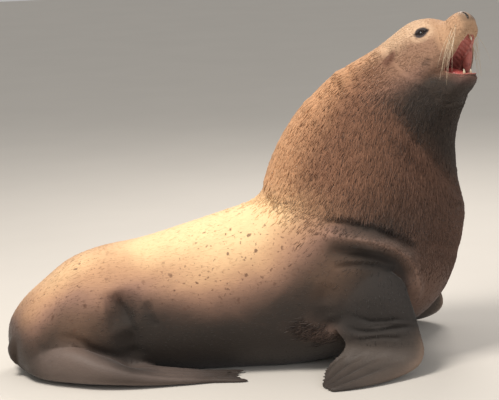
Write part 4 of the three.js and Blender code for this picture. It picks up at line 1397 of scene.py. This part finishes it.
def coatPiece(name, seed, kind, number, long, wide, lift, scatter, thick, reach):
    base = bpy.data.objects.new(name, skin.data.copy())
    bpy.context.scene.collection.objects.link(base)
    store(base.data, "thick", thick)
    store(base.data, "long", reach)
    grow = base.modifiers.new("tufts", "NODES")
    grow.node_group = tufts
    for key, value in (("Tuft", kind), ("Hide", hideSurface), ("Per square metre", float(number)),
                       ("Length", long), ("Width", wide), ("Lift", lift), ("Scatter", scatter),
                       ("Contrast", contrast[kind.name]), ("Seed", seed)):
        grow[tuftKeys[key]] = value
    swapMesh(base)
    for spare in ("spot", "root", "lay", "long", "thick"):
        if base.data.attributes.get(spare):
            base.data.attributes.remove(base.data.attributes[spare])
    base.data.shade_smooth()
    print(name, sum(len(p.vertices) - 2 for p in base.data.polygons), "triangles")
    return base


coatObjects = [coatPiece(name, firstSeed + k, *row) for k, (name, row) in enumerate(coatPieces.items())]
for obj in (maneTuft, shortTuft):
    dropObject(obj)
for spare in ("root", "lay"):
    skin.data.attributes.remove(skin.data.attributes[spare])


# eyes, tongue, teeth, claws and whiskers
fineThings = []  # each piece, its slot and the nodes it replaces


def alongRings(rings):  # 0 at the first ring, 1 at the last, for the vertices of a closed shell
    rows, around = np.shape(rings)[:2]
    return list(np.repeat(np.linspace(0, 1, rows), around)) + [0.0, 1.0]


def finePiece(name, shellList, material, slot, *nodes):
    points, faces, at = [], [], 0
    for shell in shellList:
        some, their = closedShell(shell)
        points.append(some)
        faces += [[at + i for i in face] for face in their]
        at += len(some)
    obj = meshObject(name, np.concatenate(points), faces)
    obj.data.materials.append(material)
    obj.data.shade_smooth()
    fineThings.append((obj, slot, nodes))
    return obj


def glossMaterial(name, stops, along, rough, grain, uneven, height):  # a ramp along an attribute, with a grain
    material, tree, shader, place = newMaterial(name)
    ramp = add(tree, "ShaderNodeValToRGB", {0: attribute(tree, along)})
    for at, colour in stops[1:-1]:
        ramp.color_ramp.elements.new(at)
    for element, (at, colour) in zip(ramp.color_ramp.elements, stops):
        element.position, element.color = at, (*tint(*colour), 1)
    grains = noise(tree, place, grain, 4)
    grey = add(tree, "ShaderNodeMapRange", {0: grains, 1: 0.3, 2: 0.7, 3: 1 - uneven, 4: 1 + uneven}).outputs[0]
    tree.links.new(mixed(tree, ramp.outputs[0], greyOf(tree, grey), 1.0, "MULTIPLY"), shader.inputs["Base Color"])
    shader.inputs["Roughness"].default_value = rough
    relief = add(tree, "ShaderNodeBump", {"Height": grains, "Distance": height, "Strength": 0.5})
    tree.links.new(relief.outputs[0], shader.inputs["Normal"])
    return material


ball = {"radius": 23.6, "cornea": 2.0, "corneaWidth": 0.46, "rows": 40, "around": 48}
eyeGloss = glossMaterial("eyeGloss", [(0.0, (8, 7, 7)), (0.09, (10, 8, 8)), (0.12, (44, 28, 18)),
                                      (0.19, (30, 20, 14)), (0.23, (12, 10, 9)), (0.30, (70, 58, 52))],
                         "round", rough=0.05, grain=240, uneven=0.25, height=0.00004)
for side, name in ((-1, "eyeRight"), (1, "eyeLeft")):
    middle, front, above, out = eyeFrame(side)
    rings, turns = [], []
    for k in range(1, ball["rows"]):
        t = math.pi * k / ball["rows"]
        r = (ball["radius"] + ball["cornea"] * math.exp(-((t / ball["corneaWidth"]) ** 2))) * mm
        rings.append(ringOf(middle + out * r * math.cos(t), above * r * math.sin(t), front * r * math.sin(t),
                            ball["around"]))
        turns += [t / math.pi] * ball["around"]
    obj = finePiece(name, [rings], eyeGloss, "eye_gloss", "eye_left" if side > 0 else "eye_right")
    store(obj.data, "round", turns + [0.0, 1.0])


lids = {"around": 96, "sides": 10, "wide": 2.3, "thick": 1.9, "lift": 0.5}


def lidRing(side):  # the wet margin of both lids, a thin roll all round the opening
    middle, front, above, out = eyeFrame(side)
    many, sides = lids["around"], lids["sides"]
    turn = np.arange(many) * 2 * math.pi / many
    x = eye["half"] * np.cos(turn)
    half = np.where(np.sin(turn) > 0, eye["upper"], eye["lower"])
    y = np.sign(np.sin(turn)) * half * np.clip(1 - np.abs(np.cos(turn)) ** eye["corner"], 0, 1)
    lift = np.sqrt(eye["radius"] ** 2 - x**2 - y**2) + lids["lift"]
    centres = middle + (np.outer(x, front) + np.outer(y, above) + np.outer(lift, out)) * mm
    ahead = np.roll(centres, -1, 0) - np.roll(centres, 1, 0)
    ahead /= np.linalg.norm(ahead, axis=1, keepdims=True)
    wide = np.cross(ahead, out)
    wide /= np.linalg.norm(wide, axis=1, keepdims=True)
    around = np.arange(sides) * 2 * math.pi / sides
    points = [c + (w * math.cos(a) * lids["wide"] + out * math.sin(a) * lids["thick"]) * mm
              for c, w in zip(centres, wide) for a in around]
    faces = [[r * sides + k, r * sides + (k + 1) % sides, (r + 1) % many * sides + (k + 1) % sides,
              (r + 1) % many * sides + k] for r in range(many) for k in range(sides)]
    first, second, _, last = (points[i] for i in faces[0])
    if np.cross(second - first, last - first) @ (first - centres[0]) < 0:
        faces = [face[::-1] for face in faces]
    return points, faces


lidSurface = glossMaterial("lidSurface", [(0.0, (40, 33, 31)), (1.0, (58, 46, 43))],
                           "reach", rough=0.30, grain=160, uneven=0.25, height=0.0004)
for side, name in ((-1, "lidsRight"), (1, "lidsLeft")):
    obj = meshObject(name, *lidRing(side))
    obj.data.materials.append(lidSurface)
    obj.data.shade_smooth()
    store(obj.data, "reach", np.abs(np.sin(np.arange(len(obj.data.vertices)) * 0.1)))
    fineThings.append((obj, "coat_dark", ()))

# along the jaw, top, underside, half width; the groove down its middle, and its lumps, in mm
tongue = {"rows": [[-70, -4, -34, 20], [-45, 8, -40, 34], [0, 8, -44, 36], [50, -2, -44, 32], [84, -12, -42, 22],
                   [98, -22, -36, 8]], "steps": 10, "around": 64, "sag": 0.1, "groove": 3.0, "lumps": 1.0}
wetMouth = glossMaterial("wetMouth", [(0.0, (128, 52, 52)), (0.5, (176, 84, 80)), (1.0, (198, 116, 108))],
                         "reach", rough=0.24, grain=130, uneven=0.16, height=0.0006)
tongueRings = headRings(tongue["rows"], alongJaw, tongue["steps"], tongue["around"], sag=tongue["sag"])
points = tongueRings.reshape(-1, 3)
onTop = np.tile(np.sin(np.arange(tongue["around"]) * 2 * math.pi / tongue["around"]), len(tongueRings))
sink = tongue["groove"] * bump(toHead(points)[2], 0, 5) * step(onTop, 0.2, 0.8) \
    + tongue["lumps"] * waves(points, 0.02, 31)
points = points - headUp * (sink * mm)[:, None]
obj = finePiece("tongueFlesh", [points.reshape(tongueRings.shape)], wetMouth, "wet_mouth", "tongue")
store(obj.data, "reach", alongRings(tongueRings))

enamel = glossMaterial("enamel", [(0.0, (176, 140, 108)), (0.4, (222, 208, 178)), (1.0, (232, 224, 202))],
                       "reach", rough=0.22, grain=160, uneven=0.08, height=0.0003)
# one tooth: how far along and how wide; how far its tip bends back, and how deep it stands in the gum, in mm
tooth = {"rows": [[-0.35, 0.92], [0, 1], [0.35, 0.86], [0.7, 0.58], [0.92, 0.28], [1, 0.1]], "steps": 4,
         "around": 16, "bend": 0.18, "deep": 1.15, "sink": 3.0}


def toothRings(root, points, hook, length, radius):  # from the root along the way it points, hooked that way
    wide = np.cross(points, hook)
    rings = []
    for t, size in smoothRows(tooth["rows"], tooth["steps"]):
        bent = max(t, 0) ** 2 * tooth["bend"] * length
        rings.append(ringOf(root + (points * length * t - hook * bent) * mm,
                            hook * radius * tooth["deep"] * size * mm, wide * radius * size * mm, tooth["around"]))
    return np.array(rings)


skinTree = BVHTree.FromPolygons(pointsOf(skin.data).tolist(), [list(p.vertices) for p in skin.data.polygons])


def gumAt(start, towards):  # where a tooth stands: the first gum met from inside the mouth
    hit = skinTree.ray_cast(Vector(start), Vector(towards))[0]
    return None if hit is None else np.array(hit) + towards * tooth["sink"] * mm


jawForward, jawUp = unit(alongJaw(1, 0) - alongJaw(0, 0)), unit(alongJaw(0, 1) - alongJaw(0, 0))
# fangs: forward, up, across, length, radius; the others: forward, across, length, radius
teeth = {"upperFangs": [408, -70, 38, 26, 7.5], "lowerFangs": [68, -12, 30, 28, 7.0],
         "upperFront": [[424, 7, 12, 4.4], [420, 20, 14, 5.2]], "lowerFront": [[82, 6, 12, 4.0], [79, 16, 13, 4.4]],
         "palateFrom": -130, "jawFrom": 60}
upper, lower = [], []
for side in (-1, 1):
    along, up, w, length, radius = teeth["upperFangs"]
    upper.append(toothRings(inHead(along, up, side * w), -headUp, headForward, length, radius))
    for along, w, length, radius in teeth["upperFront"]:
        root = gumAt(inHead(along, teeth["palateFrom"], side * w), headUp)
        if root is not None:
            upper.append(toothRings(root, -headUp, headForward, length, radius))
    along, up, w, length, radius = teeth["lowerFangs"]
    lower.append(toothRings(alongJaw(along, up, side * w), jawUp, jawForward, length, radius))
    for along, w, length, radius in teeth["lowerFront"]:
        root = gumAt(alongJaw(along, teeth["jawFrom"], side * w), -jawUp)
        if root is not None:
            lower.append(toothRings(root, jawUp, jawForward, length, radius))
for name, some in (("teethUpper", upper), ("teethLower", lower)):
    obj = finePiece(name, some, enamel, "tooth")
    start = tooth["rows"][0][0]
    store(obj.data, "reach", np.concatenate([list(np.repeat(np.clip(np.linspace(start, 1, len(r)), 0, 1),
                                                            tooth["around"])) + [0.0, 1.0] for r in some]))

horn = glossMaterial("horn", [(0.0, (44, 36, 30)), (1.0, (72, 62, 54))],
                     "reach", rough=0.36, grain=200, uneven=0.25, height=0.0004)
claw = {"rows": [[0, 5], [0.3, 5.2], [0.6, 4.5], [0.85, 2.8], [1, 1.2]], "steps": 4, "around": 16,
        "toes": (1, 2, 3), "length": 22, "at": [0.42, 0.32], "rise": 2, "hook": 4, "flat": 0.8}
claws = []
lead, trail = toeLine
for i in claw["toes"]:
    forth, above = claw["at"][0] * hindFlipper["toeLength"][i], claw["at"][1] * hindFlipper["toeThick"]
    root = lead + (trail - lead) * (i + 0.5) / 5 + np.array([forth, 0, above]) * mm
    rings = np.array([ringOf(root + np.array([claw["length"] * t, 0, claw["rise"] - claw["hook"] * t * t]) * mm,
                             np.array([0, 0, r * claw["flat"] * mm]), np.array([0, r * mm, 0]), claw["around"])
                      for t, r in smoothRows(claw["rows"], claw["steps"])])
    claws += [rings, toLeft(rings, hindFlipper)]
obj = finePiece("claws", claws, horn, "claw")
store(obj.data, "reach", np.concatenate([alongRings(r) for r in claws]))

# its shape, where each stands on the pad (forward, up, how long), and the way they point: forward, up, out
whisker = {"rows": 8, "sides": 5, "thick": 0.95, "droop": 0.30, "seed": 77,
           "spots": [[432, -28, 0.62], [414, -34, 0.75], [396, -42, 0.85], [378, -52, 0.9],
                     [424, -44, 0.8], [406, -52, 0.95], [388, -62, 1.0], [370, -72, 1.0], [352, -82, 0.8],
                     [414, -60, 0.8], [396, -70, 1.0], [378, -80, 1.05], [360, -92, 0.95],
                     [402, -76, 0.7], [384, -88, 0.85], [366, -100, 0.8]],
           "long": 0.17, "taper": 0.75, "way": [-0.38, -0.66, 0.54], "scatter": 0.10, "rooted": 3,
           "spread": [0.85, 1.2]}


def whiskerShape():  # one long bristle along X, 1 long, drooping
    rings = []
    turn = np.arange(whisker["sides"]) * 2 * math.pi / whisker["sides"]
    for t in np.arange(whisker["rows"]) / (whisker["rows"] - 1):
        thick = whisker["thick"] * mm / whisker["long"] * (1 - whisker["taper"] * t ** 1.3)
        rings.append(np.stack([np.full(whisker["sides"], t), thick * np.cos(turn),
                               thick * np.sin(turn) - whisker["droop"] * t * t], 1))
    return meshObject("whiskerShape", *closedShell(rings))


def whiskerTree():
    tree = bpy.data.node_groups.new("whiskers", "GeometryNodeTree")
    tree.interface.new_socket(name="Geometry", in_out="OUTPUT", socket_type="NodeSocketGeometry")
    keys = {name: geometryInput(tree, name, kind) for name, kind in (
        ("Roots", "NodeSocketGeometry"), ("Bristle", "NodeSocketObject"), ("Horn", "NodeSocketMaterial"))}
    keys["Seed"] = geometryInput(tree, "Seed", "NodeSocketInt", 1)
    given = add(tree, "NodeGroupInput").outputs

    facing = add(tree, "FunctionNodeAxesToRotation",
                 {"Primary Axis": namedIn(tree, "way", "FLOAT_VECTOR"), "Secondary Axis": (0, 0, 1)},
                 primary_axis="X", secondary_axis="Z").outputs[0]
    stretch = add(tree, "FunctionNodeRandomValue", {2: whisker["spread"][0], 3: whisker["spread"][1],
                                                    "Seed": given["Seed"]}, data_type="FLOAT").outputs[1]
    length = add(tree, "ShaderNodeMath", {0: namedIn(tree, "long"), 1: stretch}, operation="MULTIPLY").outputs[0]
    size = add(tree, "ShaderNodeCombineXYZ", {"X": length, "Y": whisker["long"], "Z": length}).outputs[0]
    points = add(tree, "GeometryNodeMeshToPoints", {"Mesh": given["Roots"]}).outputs[0]
    shape = add(tree, "GeometryNodeObjectInfo", {"Object": given["Bristle"]}).outputs["Geometry"]
    many = add(tree, "GeometryNodeInstanceOnPoints",
               {"Points": points, "Instance": shape, "Rotation": facing, "Scale": size}).outputs[0]
    real = add(tree, "GeometryNodeRealizeInstances", {"Geometry": many}).outputs[0]
    add(tree, "NodeGroupOutput", {0: add(tree, "GeometryNodeSetMaterial",
                                         {"Geometry": real, "Material": given["Horn"]}).outputs[0]})
    return tree, keys


whiskerSurface, tree, shader, place = newMaterial("whiskerSurface")
tree.links.new(mixed(tree, (*tint(232, 214, 186), 1), (*tint(168, 146, 118), 1), noise(tree, place, 30, 3)),
               shader.inputs["Base Color"])
shader.inputs["Roughness"].default_value = 0.38
bristles, bristleKeys = whiskerTree()
bristle = whiskerShape()
draw = np.random.default_rng(whisker["seed"])
for side, name in ((-1, "whiskersRight"), (1, "whiskersLeft")):
    roots, ways, longs = [], [], []
    for forward, up, long in whisker["spots"]:
        start = inHead(forward, up, side * 190)  # well outside the pad
        hit = skinTree.ray_cast(Vector(start), Vector(headAcross * -side))[0]
        if hit is None:
            continue
        a, b, c = whisker["way"]
        way = unit(a * headForward + b * headUp + c * side * headAcross + draw.normal(0, whisker["scatter"], 3))
        roots.append(np.array(hit) - way * whisker["rooted"] * mm)
        ways.append(way)
        longs.append(whisker["long"] * long)
    obj = meshObject(name, roots, [])
    store(obj.data, "way", ways, "FLOAT_VECTOR")
    store(obj.data, "long", longs)
    grow = obj.modifiers.new("whiskers", "NODES")
    grow.node_group = bristles
    for key, value in (("Bristle", bristle), ("Horn", whiskerSurface), ("Seed", whisker["seed"])):
        grow[bristleKeys[key]] = value
    swapMesh(obj)
    obj.data.shade_smooth()
    fineThings.append((obj, "whisker", ()))
    print(name, len(roots), "bristles")
dropObject(bristle)
print("eyes, tongue, teeth, claws and whiskers")


# floor, light and camera

# metres; the camera looks down by eyeHeight and leans by tilt, in degrees
stage = {"floor": 24.0, "tone": tint(214, 208, 200), "air": (0.86, 0.85, 0.83, 1), "airStrength": 0.55,
         "eyeHeight": 11.0, "tilt": 2.5, "lens": 130.0, "sensor": 36, "distance": 9.0, "aim": [0.0975, 0.0, 0.80]}
half = stage["floor"]
floor = meshObject("floor", [[-half, -half, 0], [half, -half, 0], [half, half, 0], [-half, half, 0]],
                   [[0, 1, 2, 3]])
floorPaint, tree, shader, place = newMaterial("floorPaint")
tree.links.new(mixed(tree, (*stage["tone"], 1), (*(stage["tone"] * 0.93), 1), noise(tree, place, 1.2, 4)),
               shader.inputs["Base Color"])
shader.inputs["Roughness"].default_value = 0.85
floor.data.materials.append(floorPaint)

lights = {  # where, what it lights, watts, size, colour
    "keyLight": [(-2.3, -2.3, 5.6), (0.1, 0, 0.7), 360, 1.9, (1.0, 0.95, 0.88)],
    "rimLight": [(1.2, 4.0, 4.6), (0.2, 0, 0.9), 150, 2.4, (1.0, 0.95, 0.9)],
    "fillLight": [(3.4, -4.6, 1.6), (0.5, 0, 0.8), 60, 3.0, (0.92, 0.95, 1.0)],
}
for name, (at, towards, watts, size, colour) in lights.items():
    lamp = bpy.data.lights.new(name, "AREA")
    lamp.energy, lamp.size, lamp.color = watts, size, colour
    obj = bpy.data.objects.new(name, lamp)
    bpy.context.scene.collection.objects.link(obj)
    obj.location = at
    obj.rotation_euler = (Vector(towards) - Vector(at)).to_track_quat("-Z", "Y").to_euler()
world = bpy.data.worlds.new("studio")
bpy.context.scene.world = world
bpy.context.scene.view_settings.view_transform = "Standard"
world.use_nodes = True
air = world.node_tree.nodes["Background"].inputs
air["Color"].default_value, air["Strength"].default_value = stage["air"], stage["airStrength"]

camera = bpy.data.objects.new("camera", bpy.data.cameras.new("camera"))
bpy.context.scene.collection.objects.link(camera)
camera.data.lens, camera.data.sensor_width = stage["lens"], stage["sensor"]
rise, tilt = math.radians(stage["eyeHeight"]), math.radians(stage["tilt"])
ahead = Vector((0, math.cos(rise), -math.sin(rise)))
right = Vector((1, 0, 0))
above = right.cross(ahead)
right, above = right * math.cos(tilt) - above * math.sin(tilt), right * math.sin(tilt) + above * math.cos(tilt)
turn = Matrix((right, above, -ahead)).transposed().to_4x4()
camera.matrix_world = Matrix.Translation(Vector(stage["aim"]) - ahead * stage["distance"]) @ turn
bpy.context.scene.camera = camera

# what stands for what
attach(skin, "root")
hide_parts("head", "lower_jaw", "neck", "chest", "trunk", "hindquarters", "tail", "ear_right", "ear_left",
            "fore_flipper_right", "fore_flipper_left", "hind_flipper_right", "hind_flipper_left")
for obj in coatObjects:
    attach(obj, "root")
for obj, slot, nodes in fineThings:
    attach(obj, "root")
    if nodes:
        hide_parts(*nodes)
